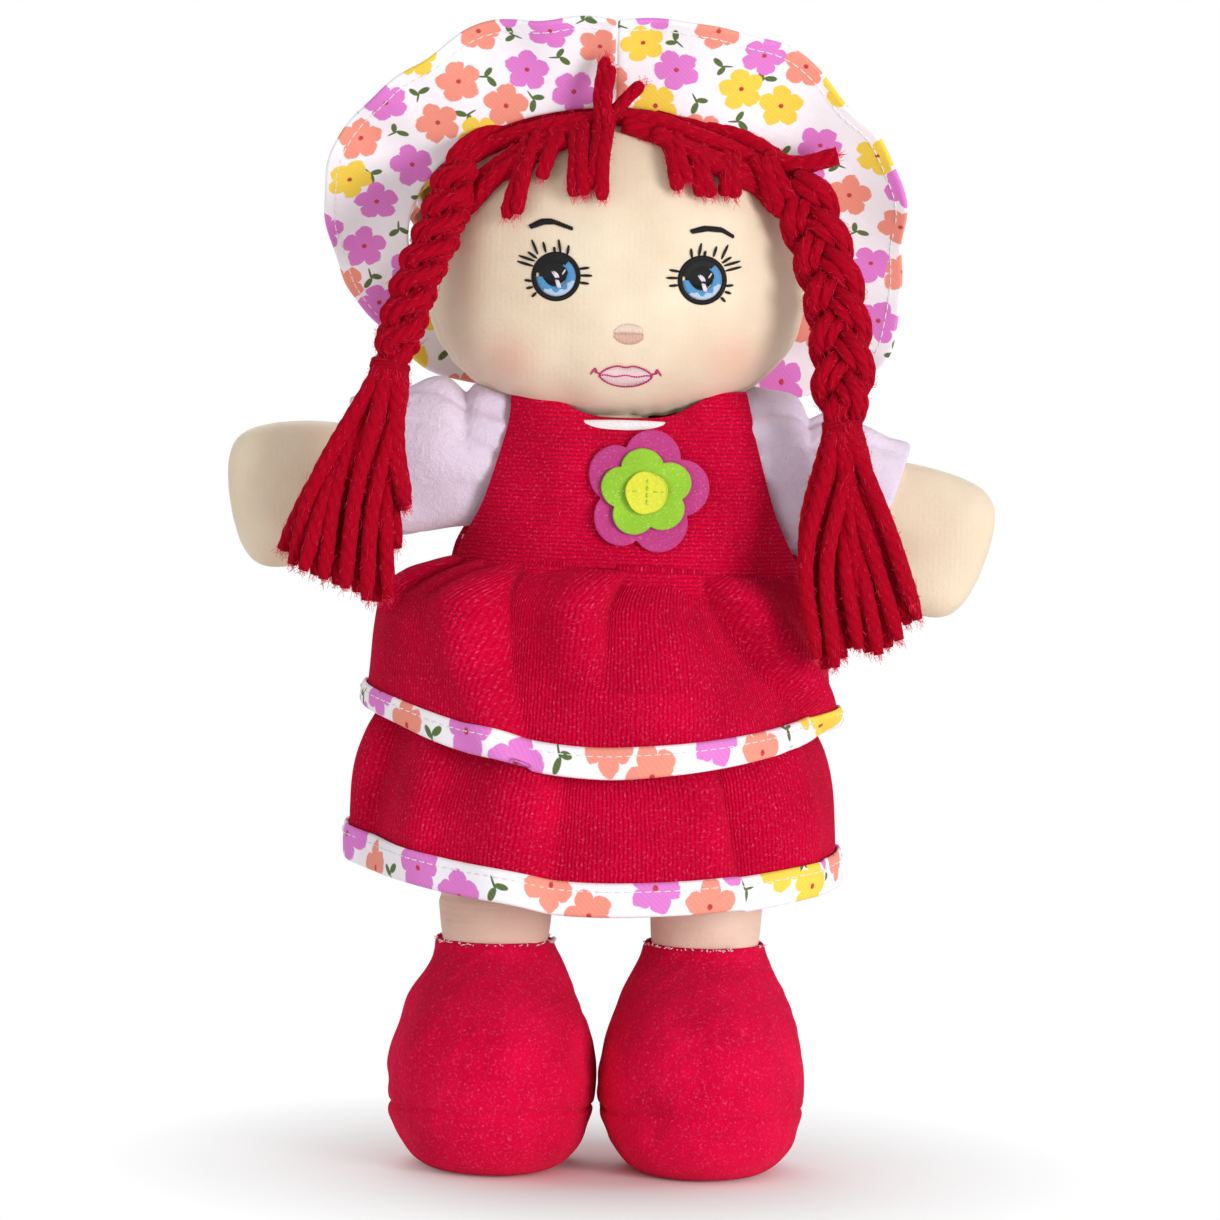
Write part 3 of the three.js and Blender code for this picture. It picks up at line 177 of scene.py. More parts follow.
def loop_mesh(name, grids, uv=None, around=True, ends=True):
    """
    Mesh of one or more grids of points in millimetres, shaped (grids, rows, columns, 3). Around joins each row's
    last point to its first; ends closes the first and last row with a fan. uv holds cloth positions in
    millimetres for each corner, with one column more where the rows close. Faces point outwards.
    """
    grids = grids.reshape((-1,) + grids.shape[-3:])
    count, rows, cols, _ = grids.shape
    i, j = np.meshgrid(np.arange(rows - 1), np.arange(cols if around else cols - 1), indexing="ij")
    corner = np.array([[0, 0], [0, 1], [1, 1], [1, 0]])
    i = (i[..., None] + corner[:, 0]).reshape(-1, 4)
    j = (j[..., None] + corner[:, 1]).reshape(-1, 4)
    size = rows * cols + (2 if ends else 0)
    offset = (np.arange(count) * size)[:, None, None]
    quads = (i * cols + j % cols)[None] + offset
    points = grids.reshape(count, rows * cols, 3)
    fans = np.zeros((count, 0, 3), int)
    if ends:
        points = np.concatenate([points, grids[:, [0, -1]].mean(axis=2)], axis=1)
        here = np.arange(cols)
        beside = (here + 1) % cols
        last = (rows - 1) * cols
        top = np.stack([np.full(cols, rows * cols), beside, here], -1)
        bottom = np.stack([np.full(cols, rows * cols + 1), last + here, last + beside], -1)
        fans = np.concatenate([top, bottom])[None] + offset
    points = points.reshape(-1, 3) * MM
    quads = quads.reshape(-1, 4)
    fans = fans.reshape(-1, 3)
    centred = points - points.mean(axis=0)
    a, b, c, d = (centred[quads[:, k]] for k in range(4))
    volume = (a * np.cross(b, c) + a * np.cross(c, d)).sum()
    inside_out = volume < 0
    if inside_out:
        quads = quads[:, ::-1]
        fans = fans[:, ::-1]
    mesh = bpy.data.meshes.new(name)
    mesh.from_pydata(points.tolist(), [], quads.tolist() + fans.tolist())
    mesh.polygons.foreach_set("use_smooth", np.ones(len(mesh.polygons), bool))
    if uv is not None:
        uv = np.broadcast_to(uv, (count,) + uv.shape[-3:]) * MM
        if inside_out:
            i, j = i[:, ::-1], j[:, ::-1]
        flat = uv[:, i, j].reshape(-1, 2)
        rest = np.zeros((fans.size, 2))
        layer = mesh.uv_layers.new(name="cloth")
        layer.data.foreach_set("uv", np.concatenate([flat, rest]).ravel())
    mesh.update()
    return mesh


def piece(name, mesh, material, body, slot, *nodes):
    """Object of a finished mesh that rides on a body, takes a material slot and stands for the named nodes. The slot
    argument is not used.
    """
    made = bpy.data.objects.new(name, mesh)
    bpy.context.scene.collection.objects.link(made)
    mesh.materials.append(material)
    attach(made, body)
    if nodes:
        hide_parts(*nodes)
    return made


def ripple(points, seed, size, waves=7):
    """Smooth noise from -1 to 1: the mean of sines along random directions, about one wave per size."""
    chance = np.random.default_rng(seed)
    ways = chance.normal(size=(waves, 3))
    ways *= (2 * np.pi / size) * chance.uniform(0.6, 1.5, (waves, 1)) / np.linalg.norm(ways, axis=1)[:, None]
    phase = chance.uniform(0, 2 * np.pi, waves)
    return np.sin(points @ ways.T + phase).sum(axis=-1) / np.sqrt(2 * waves)


def head_share(rise):
    """Share of the head's width and depth, (1 - |r| ^ p) ^ (1 / p), at r from -1 at the chin to 1 at the top."""
    power = np.where(rise < 0, CHIN_ROUNDNESS, CROWN_ROUNDNESS)
    return np.maximum(1 - np.abs(rise) ** power, 1e-4) ** (1 / power)


def head_surface(rise, angle):
    """Ovals of shrinking size, drawn in along the seam and rippled beside it."""
    share = head_share(rise)
    lift = np.where(rise < 0, CHEEK_HEIGHT * (1 + rise), CHEEK_HEIGHT + (HEAD_HEIGHT - CHEEK_HEIGHT) * rise)
    x = HEAD_HALF_WIDTH * share * np.cos(angle)
    y = HEAD_HALF_DEPTH * share * np.sin(angle)
    points = np.stack([x, y, CHIN + lift + 0 * x], -1)
    middle = np.array([0, 0, CHIN + HEAD_HEIGHT / 2])
    out = (points - middle) / np.array([HEAD_HALF_WIDTH, HEAD_HALF_DEPTH, HEAD_HEIGHT / 2]) ** 2
    out /= np.linalg.norm(out, axis=-1, keepdims=True)
    from_seam = y + HEAD_SEAM_LEAD
    round_seam = np.arctan2(points[..., 2] - CHIN - HEAD_HEIGHT / 2, x)
    groove = -1.3 * np.exp(-((from_seam / 0.8) ** 2)) + 0.3 * np.exp(-(((np.abs(from_seam) - 3) / 2) ** 2))
    pucker = 0.32 * np.sin(34 * round_seam + 3 * np.sin(5 * round_seam)) * np.exp(-np.abs(from_seam) / 6)
    slack = 0.35 * ripple(points * np.array([1.0, 0.6, 0.35]), 3, 26)
    return points + out * (groove + pucker + slack)[..., None]


def material(name, roughness, sheen=0.0, sheen_tint=(1.0, 1.0, 1.0, 1.0), specular=0.3):
    """New material with its constants set on the shader itself; returns it with its tree and its shader."""
    made = bpy.data.materials.new(name)
    made.use_nodes = True
    shader = made.node_tree.nodes["Principled BSDF"]
    shader.inputs["Roughness"].default_value = roughness
    shader.inputs["Specular IOR Level"].default_value = specular
    shader.inputs["Sheen Weight"].default_value = sheen
    shader.inputs["Sheen Roughness"].default_value = 0.5
    shader.inputs["Sheen Tint"].default_value = sheen_tint
    return made, made.node_tree, shader


def group(name, inputs, outputs):
    """New shader node group with typed inputs and outputs; returns its tree, its input and its output node."""
    tree = bpy.data.node_groups.new(name, "ShaderNodeTree")
    for label, kind in inputs.items():
        tree.interface.new_socket(label, in_out="INPUT", socket_type="NodeSocket" + kind)
    for label, kind in outputs.items():
        tree.interface.new_socket(label, in_out="OUTPUT", socket_type="NodeSocket" + kind)
    return tree, tree.nodes.new("NodeGroupInput"), tree.nodes.new("NodeGroupOutput")


def placed(tree, inner, **inputs):
    """A node group placed in a material, with its own values."""
    node = tree.nodes.new("ShaderNodeGroup")
    node.node_tree = inner
    for key, value in inputs.items():
        socket = node.inputs[key.replace("_", " ")]
        if isinstance(value, bpy.types.NodeSocket):
            tree.links.new(value, socket)
        else:
            socket.default_value = value
    return node


def raised(tree, shader, height, distance, strength=1.0):
    """Bumps the shader's normal by a height from 0 to 1 over a distance in metres."""
    bump = add(tree, "Bump", Height=height, Distance=distance, Strength=strength)
    tree.links.new(bump.outputs["Normal"], shader.inputs["Normal"])


# Brushed cloth, used all over the doll: loose fibre ends catch the light as fine pale specks over a ground
# colour that varies in soft patches.
brushed, brushed_in, brushed_out = group(
    "brushed_cloth",
    {"Place": "Vector", "Ground": "Color", "Fibre": "Color", "Shade": "Color", "Grain": "Float", "Fuzz": "Float"},
    {"Color": "Color", "Height": "Float"})
place, grain = brushed_in.outputs["Place"], brushed_in.outputs["Grain"]
fine = add(brushed, "TexNoise", Vector=place, Scale=grain, Detail=4.0, Roughness=0.62, Distortion=0.6)
coarse = add(brushed, "TexNoise", Vector=place, Scale=calc(brushed, "MULTIPLY", grain, 0.27), Detail=2.0)
patch = add(brushed, "TexNoise", Vector=place, Scale=55.0, Detail=2.0)
speck = calc(brushed, "MULTIPLY_ADD", fine.outputs["Fac"], 5.5, -3.05, clamp=True)
speck = calc(brushed, "MULTIPLY", speck, brushed_in.outputs["Fuzz"])
tone = calc(brushed, "MULTIPLY_ADD", patch.outputs["Fac"], 2.0, -0.62, clamp=True)
tone = mixed(brushed, tone, brushed_in.outputs["Shade"], brushed_in.outputs["Ground"])
brushed.links.new(mixed(brushed, speck, tone, brushed_in.outputs["Fibre"]), brushed_out.inputs["Color"])
pile = calc(brushed, "MULTIPLY_ADD", coarse.outputs["Fac"], 0.9, calc(brushed, "MULTIPLY", fine.outputs["Fac"], 0.7))
brushed.links.new(pile, brushed_out.inputs["Height"])

satin, satin_tree, satin_shader = material("satin", 0.52, sheen=0.25, specular=0.35)
spot = add(satin_tree, "TexCoord").outputs["Object"]
satin_cloth = placed(satin_tree, brushed, Place=spot, Ground=SATIN, Fibre=rgb(250, 238, 216),
                     Shade=SATIN_DARK, Grain=2600.0, Fuzz=0.5)
wale = add(satin_tree, "TexWave", {"bands_direction": "X"}, Vector=spot, Scale=190.0, Distortion=1.2, Detail=2.0)
raised(satin_tree, satin_shader,
       calc(satin_tree, "MULTIPLY_ADD", wale.outputs["Fac"], 0.12, satin_cloth.outputs["Height"]), 0.00012)
satin_tree.links.new(satin_cloth.outputs["Color"], satin_shader.inputs["Base Color"])

face_satin = satin.copy()
face_satin.name = "face_satin"
face_tree = face_satin.node_tree
face_shader = face_tree.nodes["Principled BSDF"]
face_spot = next(n for n in face_tree.nodes if n.type == "TEX_COORD").outputs["Object"]
face_colour = face_shader.inputs["Base Color"].links[0].from_socket
apart = add(face_tree, "SeparateXYZ", Vector=face_spot)
in_front = calc(face_tree, "LESS_THAN", apart.outputs["Y"], 0.0)
for blush_x, blush_z in BLUSH_PLACES:
    across = calc(face_tree, "MULTIPLY", calc(face_tree, "SUBTRACT", apart.outputs["X"], blush_x * MM), 128.0)
    above = calc(face_tree, "MULTIPLY", calc(face_tree, "SUBTRACT", apart.outputs["Z"], blush_z * MM), 138.0)
    near = calc(face_tree, "ADD", calc(face_tree, "MULTIPLY", across, across),
                calc(face_tree, "MULTIPLY", above, above))
    dust = calc(face_tree, "EXPONENT", calc(face_tree, "MULTIPLY", near, -1.0))
    dust = calc(face_tree, "MULTIPLY", calc(face_tree, "MULTIPLY", dust, 0.45), in_front)
    face_colour = mixed(face_tree, dust, face_colour, BLUSH)
face_tree.links.new(face_colour, face_shader.inputs["Base Color"])

rise = np.sin(np.linspace(-1, 1, 150) * (np.pi / 2) * 0.985)[:, None]
angle = np.linspace(0, 2 * np.pi, 240, endpoint=False)[None]
head_bag = piece("head_bag", loop_mesh("head_bag", head_surface(rise, angle)), face_satin, "head", "satin",
                 "face_panel", "head_back_panel")


def filling(name, grid, body, node, shrink=0.93):
    """Stuffing inside a bag: the bag's own rows, each drawn in towards its middle, and the ends towards the centre."""
    centre = grid.reshape(-1, 3).mean(axis=0)
    middle = grid.mean(axis=1, keepdims=True)
    inner = middle + (grid - middle) * shrink
    inner = inner + (centre - middle) * (1 - shrink)
    return piece(name, loop_mesh(name, inner), fill_wool, body, "fibrefill", node)


# Stuffing of the head, body and limbs: loose white fibrefill, packed tight, out of sight inside the bags. The
# torso bag of plain cotton under the clothes, and the neck, keep their plain forms too.
fill_wool, fill_tree, fill_shader = material("fibrefill", 0.95, sheen=0.4)
fill_cloth = placed(fill_tree, brushed, Place=add(fill_tree, "TexCoord").outputs["Object"],
                    Ground=rgb(242, 240, 234), Fibre=rgb(252, 252, 250), Shade=rgb(228, 225, 218),
                    Grain=900.0, Fuzz=0.8)
fill_tree.links.new(fill_cloth.outputs["Color"], fill_shader.inputs["Base Color"])
raised(fill_tree, fill_shader, fill_cloth.outputs["Height"], 0.0008)
lining, lining_tree, lining_shader = material("lining", 0.85)
lining_cloth = placed(lining_tree, brushed, Place=add(lining_tree, "TexCoord").outputs["Object"],
                      Ground=rgb(230, 222, 206), Fibre=rgb(240, 235, 222), Shade=rgb(214, 204, 186),
                      Grain=2000.0, Fuzz=0.4)
lining_tree.links.new(lining_cloth.outputs["Color"], lining_shader.inputs["Base Color"])
raised(lining_tree, lining_shader, lining_cloth.outputs["Height"], 0.0002)
rise = np.sin(np.linspace(-1, 1, 50) * (np.pi / 2) * 0.985)[:, None]
filling("head_filling", head_surface(rise, np.linspace(0, 2 * np.pi, 80, endpoint=False)[None]), "head",
        "head_stuffing")
kept = {"torso_front": lining, "torso_back": lining, "neck": satin}
refilled = ("head_stuffing", "right_shoe_stuffing", "left_shoe_stuffing")
kept.update({name: fill_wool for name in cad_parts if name.endswith("stuffing") and name not in refilled})
for name, finish in kept.items():
    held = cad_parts[name]
    held.data.materials.clear()
    held.data.materials.append(finish)

# Embroidery: eyes, brows, lashes, nose and mouth are worked in glossy machine thread on the face panel, in
# satin stitch that lies side by side, about four tenths of a millimetre apart.
EYE_PLACES = ((-17.9, 271.6), (25.7, 271.5))
EYE_RADIUS = 7.4
IRIS_RADIUS = 6.4
PUPIL_RADIUS = 4.3
PUPIL_SHIFT = (-0.9, 1.3)
THREAD_RADIUS = 0.24
LASHES = np.array([
    [[-5.6, 6.4], [-7.5, 10.7]], [[-3.2, 7.0], [-4.1, 10.2]], [[-0.5, 7.1], [-0.8, 8.8]],
    [[1.2, 7.1], [0.5, 11.0]], [[3.2, 6.5], [3.6, 9.4]], [[-5.8, 5.2], [-8.6, 7.1]],
    [[-6.4, 4.4], [-11.3, 5.9]], [[-6.9, 2.9], [-11.7, 4.2]], [[6.8, 2.4], [9.9, 2.9]],
    [[7.1, 0.5], [10.8, 0.5]], [[7.0, -1.6], [9.9, -1.9]], [[-7.1, -1.6], [-9.4, -1.3]],
    [[-6.8, -3.3], [-8.8, -3.8]], [[-5.7, -4.9], [-7.1, -6.3]]])
BROWS = {-1: [[-7.9, 14.6], [-4.3, 16.2], [-1.3, 16.3], [4.3, 14.4]],
         1: [[-3.4, 14.4], [0.6, 15.4], [5.5, 15.1], [8.9, 13.2]]}
NOSE_PLACE = (4.3, 254.9)
MOUTH_PLACE = (3.6, 242.3)
MOUTH_HALF = (8.0, 3.3)


def on_face(x, z, out):
    """Points on the face at x and z, lifted by out straight forwards: y = -b sqrt(1 - (x / a) ^ 2)."""
    lift = z - CHIN
    rise = np.where(lift < CHEEK_HEIGHT, lift / CHEEK_HEIGHT - 1,
                    (lift - CHEEK_HEIGHT) / (HEAD_HEIGHT - CHEEK_HEIGHT))
    share = head_share(rise)
    y = -HEAD_HALF_DEPTH * share * np.sqrt(np.maximum(1 - (x / (HEAD_HALF_WIDTH * share)) ** 2, 0.01))
    y = y - 0.35 * ripple(np.stack([x, y, z], -1) * np.array([1.0, 0.6, 0.35]), 3, 26)
    return np.stack([x, y - out, z], -1)


def stitches(starts, ends, radius, out=0.1, bulge=0.22, steps=6, sides=6):
    """Threads laid on the face from starts to ends, (n, 2) each: flat tubes that rise in the middle."""
    t = np.linspace(0, 1, steps)[None, :, None]
    line = starts[:, None] + (ends - starts)[:, None] * t
    along = (ends - starts) / np.maximum(np.linalg.norm(ends - starts, axis=1, keepdims=True), 1e-6)
    across = np.stack([-along[:, 1], along[:, 0]], -1)[:, None, None]
    width = radius * (0.45 + 0.55 * np.sin(np.pi * t) ** 0.5)[..., None]
    turn = np.linspace(0, 2 * np.pi, sides, endpoint=False)[None, None, :, None]
    flat = line[:, :, None] + across * np.cos(turn) * width
    lift = out + bulge * np.sin(np.pi * t)[..., None] + 0.75 * width * np.sin(turn)
    return on_face(flat[..., 0], flat[..., 1], lift[..., 0])


def ring_stitches(middle, low, high, inner, outer, gap=0.36):
    """Starts and ends of stitches that fan round a middle between two radii, each a number or a function."""
    count = max(3, int((high - low) * EYE_RADIUS / gap))
    turn = np.linspace(low, high, count)
    way = np.stack([np.cos(turn), np.sin(turn)], -1)
    reach = [np.broadcast_to(r(turn) if callable(r) else r, turn.shape)[:, None] for r in (inner, outer)]
    return np.asarray(middle) + way * reach[0], np.asarray(middle) + way * reach[1]


def column_stitches(middle, half_width, low, high, gap=0.36):
    """Starts and ends of upright stitches between two edges given as functions of x."""
    x = np.arange(-half_width, half_width + gap / 2, gap)
    return np.asarray(middle) + np.stack([x, low(x)], -1), np.asarray(middle) + np.stack([x, high(x)], -1)


def thread(name, colour, sheen_colour=(1.0, 1.0, 1.0, 1.0)):
    """Glossy embroidery thread with fine variation in tone."""
    made, tree, shader = material(name, 0.5, sheen=0.05, sheen_tint=sheen_colour, specular=0.22)
    noise = add(tree, "TexNoise", Vector=add(tree, "TexCoord").outputs["Object"], Scale=1500.0, Detail=3.0)
    darker = tuple(0.72 * c for c in colour[:3]) + (1.0,)
    tree.links.new(mixed(tree, noise.outputs["Fac"], darker, colour), shader.inputs["Base Color"])
    raised(tree, shader, noise.outputs["Fac"], 0.0001)
    return made


black_thread = thread("black_thread", rgb(12, 10, 14))
threads = {
    "blue": thread("blue_thread", rgb(88, 158, 214)),
    "sky": thread("sky_thread", rgb(196, 216, 240)),
    "white": thread("white_thread", rgb(246, 240, 248)),
    "nose": thread("nose_thread", rgb(236, 194, 176)),
    # Painted highlight: a paler copy of the nose thread for the nose's upper rows.
    "glow": thread("glow_thread", rgb(250, 228, 212)),
    "lip": thread("lip_thread", rgb(255, 228, 234)),
    "magenta": thread("magenta_thread", rgb(206, 50, 124)),
}
work = {"black": [], "blue": [], "sky": [], "white": [], "nose": [], "glow": [], "lip": [], "magenta": []}
for eye_side, (eye_x, eye_z) in zip((-1, 1), EYE_PLACES):
    eye = np.array([eye_x, eye_z])
    pupil = eye + PUPIL_SHIFT
    work["black"].append(stitches(*ring_stitches(eye, 0, 2 * np.pi, EYE_RADIUS - 1.5, EYE_RADIUS), 0.27))
    work["black"].append(stitches(*column_stitches(
        pupil, PUPIL_RADIUS, lambda x: -np.sqrt(np.maximum(PUPIL_RADIUS ** 2 - x ** 2, 0)),
        lambda x: np.sqrt(np.maximum(PUPIL_RADIUS ** 2 - x ** 2, 0)), 0.34), THREAD_RADIUS, out=0.22))
    work["black"].append(stitches(*ring_stitches(eye, 0.3 * np.pi, 0.93 * np.pi, 3.2, EYE_RADIUS - 0.6, 0.3),
                                  THREAD_RADIUS, out=0.2))
    crescent = (-0.98 * np.pi, 0.32 * np.pi)
    work["blue"].append(stitches(*ring_stitches(eye, *crescent, 3.0, IRIS_RADIUS - 0.6), THREAD_RADIUS, out=0.14))
    rim = (-0.72 * np.pi, -0.08 * np.pi)
    work["sky"].append(stitches(*ring_stitches(
        eye, *rim, lambda t: 4.1 - 0.5 * np.sin(9 * t), IRIS_RADIUS - 0.6, 0.42), THREAD_RADIUS, out=0.26))
    glint = np.array([[[-1.3, 1.5], [0.1, -0.5]], [[-0.8, 1.7], [0.4, -0.3]], [[-0.3, 1.5], [0.7, -0.3]],
                      [[0.2, 1.1], [0.9, -0.4]], [[-0.1, -0.9], [0.7, -3.4]], [[0.3, -0.9], [1.1, -3.5]],
                      [[0.7, -1.0], [1.5, -3.3]], [[1.8, 0.6], [2.8, 2.2]]]) + eye
    work["white"].append(stitches(glint[:, 0], glint[:, 1], THREAD_RADIUS, out=0.5))
    lash = LASHES * np.array([-eye_side, 1]) + eye
    work["black"].append(stitches(lash[:, 0], lash[:, 1], 0.42, out=0.14, bulge=0.3))
    arch = np.array(BROWS[eye_side]) + eye
    spread = np.linspace(0, 3, 24)
    arch = np.stack([np.interp(spread, np.arange(4), arch[:, k]) for k in (0, 1)], -1)
    slope = np.gradient(arch, axis=0)
    slope /= np.linalg.norm(slope, axis=1, keepdims=True)
    lean = 0.9 * (0.6 + 0.4 * np.sin(np.linspace(0.3, 2.8, 24)))[:, None] * np.stack([-slope[:, 1] - 0.5 * slope[:, 0],
                                                                                 slope[:, 0]], -1)
    work["black"].append(stitches(arch - lean, arch + lean, 0.42, out=0.16, bulge=0.35))
nose = np.array(NOSE_PLACE)
# The nose is worked in a lit and a shaded tone of one thread: the pale upper rows are a painted highlight, the darker
# lower rows painted shade.
for low, high, tone in ((-0.95, 0.15, "nose"), (0.25, 1.0, "glow")):
    work[tone].append(stitches(*column_stitches(
        nose, 4.3, lambda x: low * 3.3 * np.sqrt(np.maximum(1 - (x / 4.7) ** 2, 0)) * (low < 0) + low * (low > 0),
        lambda x: high * 3.3 * np.sqrt(np.maximum(1 - (x / 4.7) ** 2, 0)), 0.42), THREAD_RADIUS, out=0.08))


def lip(x, share):
    """Edge of the mouth at x: share * half height * (1 - (x / a) ^ 2) ^ 0.7, dipped in the middle above."""
    dip = 0.22 * np.exp(-((x / 1.6) ** 2)) if share > 0 else 0
    return share * MOUTH_HALF[1] * (1 - dip) * np.maximum(1 - (x / MOUTH_HALF[0]) ** 2, 0) ** 0.7


work["lip"].append(stitches(*column_stitches(MOUTH_PLACE, 7.3, lambda x: lip(x, -0.9), lambda x: lip(x, 0.9), 0.4),
                            THREAD_RADIUS, out=0.05))
for share in (1, -1, 0.06):
    x = np.linspace(-MOUTH_HALF[0], MOUTH_HALF[0], 23)
    edge = np.asarray(MOUTH_PLACE) + np.stack([x, lip(x, share) if abs(share) > 0.5 else 0.25 * np.cos(x)], -1)
    work["magenta"].append(stitches(edge[:-1], edge[1:], 0.28, out=0.3, bulge=0.2))
ticks = np.array([[[-10.6, 0.2], [-9.2, 2.3]], [[-9.2, 2.3], [-8.6, 0.8]], [[-9.4, 1.2], [-7.9, 0.6]],
                  [[10.7, 0.1], [9.3, 2.3]], [[9.3, 2.3], [8.9, 0.7]], [[9.6, 1.1], [7.9, 0.6]]])
ticks = ticks + np.asarray(MOUTH_PLACE)
work["magenta"].append(stitches(ticks[:, 0], ticks[:, 1], 0.3, out=0.14))
threads["black"] = black_thread
for colour, laid in work.items():
    piece("embroidery_" + colour, loop_mesh("embroidery_" + colour, np.concatenate(laid)), threads[colour],
          "head", "satin")

# Sun hat: white cotton with a scattered print of small five-petalled flowers. The brim is two stiffened
# half-rings, seamed at the top and topstitched near the edge; the crown is a shallow cup behind the head.
HAT_TILT = np.radians(35)
BRIM_TILT = np.radians(30)
OPENING_MIDDLE = np.array([-1.5, 0.118 * 76, CHIN + 0.552 * HEAD_HEIGHT])
OPENING_HALF = (60.0, 50.0)
HAT_WALL = 2.0
BRIM_REACH = (28.0, 19.5)
BRIM_SHIFT = np.array([0.0, -9.0, 7.5])
CROWN_DEPTH = 37.0
PRINT_PITCH = 0.0160
UP = np.array([0.0, -np.sin(HAT_TILT), np.cos(HAT_TILT)])
BACK = np.array([0.0, np.cos(HAT_TILT), np.sin(HAT_TILT)])
BRIM_UP = np.array([0.0, -np.sin(BRIM_TILT), np.cos(BRIM_TILT)])

printed, printed_in, printed_out = group("flower_print", {"Place": "Vector"}, {"Color": "Color"})
spread_out = add(printed, "Mapping", Vector=printed_in.outputs["Place"])
spread_out.inputs["Scale"].default_value = (1 / PRINT_PITCH, 1 / PRINT_PITCH, 1.0)
spread_out.inputs["Rotation"].default_value = (0.0, 0.0, np.radians(27))
wobble = add(printed, "TexNoise", Vector=spread_out.outputs[0], Scale=5.0, Detail=2.0)
cells = add(printed, "TexVoronoi", {"voronoi_dimensions": "2D"}, Vector=spread_out.outputs[0], Scale=1.0,
            Randomness=0.42)
local = add(printed, "VectorMath", {"operation": "SUBTRACT"})
printed.links.new(spread_out.outputs[0], local.inputs[0])
printed.links.new(cells.outputs["Position"], local.inputs[1])
spot_xyz = add(printed, "SeparateXYZ", Vector=local.outputs[0])
dice = add(printed, "SeparateColor", Color=cells.outputs["Color"])
px, py = spot_xyz.outputs["X"], spot_xyz.outputs["Y"]
far_out = calc(printed, "SQRT", calc(printed, "MULTIPLY_ADD", px, px, calc(printed, "MULTIPLY", py, py)))
spin = calc(printed, "MULTIPLY", dice.outputs["Red"], 6.2832)
way = calc(printed, "ADD", calc(printed, "ARCTAN2", py, px), spin)
lobe = calc(printed, "ABSOLUTE", calc(printed, "COSINE", calc(printed, "MULTIPLY", way, 2.5)))
lobe = calc(printed, "POWER", lobe, 0.55)
edge_of_petal = calc(printed, "MULTIPLY_ADD", lobe, 0.155, 0.215)
edge_of_petal = calc(printed, "MULTIPLY_ADD", wobble.outputs["Fac"], 0.14, edge_of_petal)
petal = calc(printed, "MULTIPLY", calc(printed, "SUBTRACT", edge_of_petal, far_out), 45.0, clamp=True)
dot = calc(printed, "MULTIPLY", calc(printed, "SUBTRACT", 0.055, far_out), 60.0, clamp=True)
inks = add(printed, "ValToRGB", Fac=dice.outputs["Green"])
inks.color_ramp.interpolation = "CONSTANT"
for stop, colour in ((0.0, rgb(226, 122, 208)), (0.42, rgb(242, 146, 126)), (0.74, rgb(246, 210, 66))):
    ink = inks.color_ramp.elements[0] if stop == 0 else inks.color_ramp.elements.new(stop)
    ink.position = stop
    ink.color = colour
inks.color_ramp.elements.remove(inks.color_ramp.elements[-1])
beside = add(printed, "VectorMath", {"operation": "ADD"})
printed.links.new(spread_out.outputs[0], beside.inputs[0])
beside.inputs[1].default_value = (0.5, 0.5, 0.0)
sprigs = add(printed, "TexVoronoi", {"voronoi_dimensions": "2D"}, Vector=beside.outputs[0], Scale=1.0, Randomness=0.3)
from_sprig = add(printed, "VectorMath", {"operation": "SUBTRACT"})
printed.links.new(beside.outputs[0], from_sprig.inputs[0])
printed.links.new(sprigs.outputs["Position"], from_sprig.inputs[1])
sprig_dice = add(printed, "SeparateColor", Color=sprigs.outputs["Color"])
turned_sprig = add(printed, "VectorRotate", {"rotation_type": "Z_AXIS"}, Vector=from_sprig.outputs[0],
                   Angle=calc(printed, "MULTIPLY", sprig_dice.outputs["Blue"], 6.2832))
sprig_xyz = add(printed, "SeparateXYZ", Vector=turned_sprig.outputs[0])
leaf = None
for leaf_x, leaf_y, long_half, short_half, tilt in ((0.10, 0.06, 0.13, 0.066, 0.7), (-0.095, 0.0, 0.12, 0.06, 2.5),
                                                    (0.0, -0.09, 0.15, 0.022, 1.5)):
    cx = calc(printed, "SUBTRACT", sprig_xyz.outputs["X"], leaf_x)
    cy = calc(printed, "SUBTRACT", sprig_xyz.outputs["Y"], leaf_y)
    lengthwise = calc(printed, "MULTIPLY_ADD", cx, np.cos(tilt) / long_half,
                      calc(printed, "MULTIPLY", cy, np.sin(tilt) / long_half))
    crosswise = calc(printed, "MULTIPLY_ADD", cy, np.cos(tilt) / short_half,
                     calc(printed, "MULTIPLY", cx, -np.sin(tilt) / short_half))
    oval = calc(printed, "MULTIPLY_ADD", lengthwise, lengthwise, calc(printed, "MULTIPLY", crosswise, crosswise))
    mark = calc(printed, "MULTIPLY", calc(printed, "SUBTRACT", 1.0, oval), 3.0, clamp=True)
    leaf = mark if leaf is None else calc(printed, "MAXIMUM", leaf, mark)
leaf = calc(printed, "MULTIPLY", leaf, calc(printed, "GREATER_THAN", sprig_dice.outputs["Red"], 0.25))
painted = mixed(printed, leaf, rgb(250, 246, 252), rgb(80, 106, 40))
painted = mixed(printed, petal, painted, inks.outputs["Color"])
painted = mixed(printed, dot, painted, rgb(196, 42, 50))
printed.links.new(painted, printed_out.inputs["Color"])

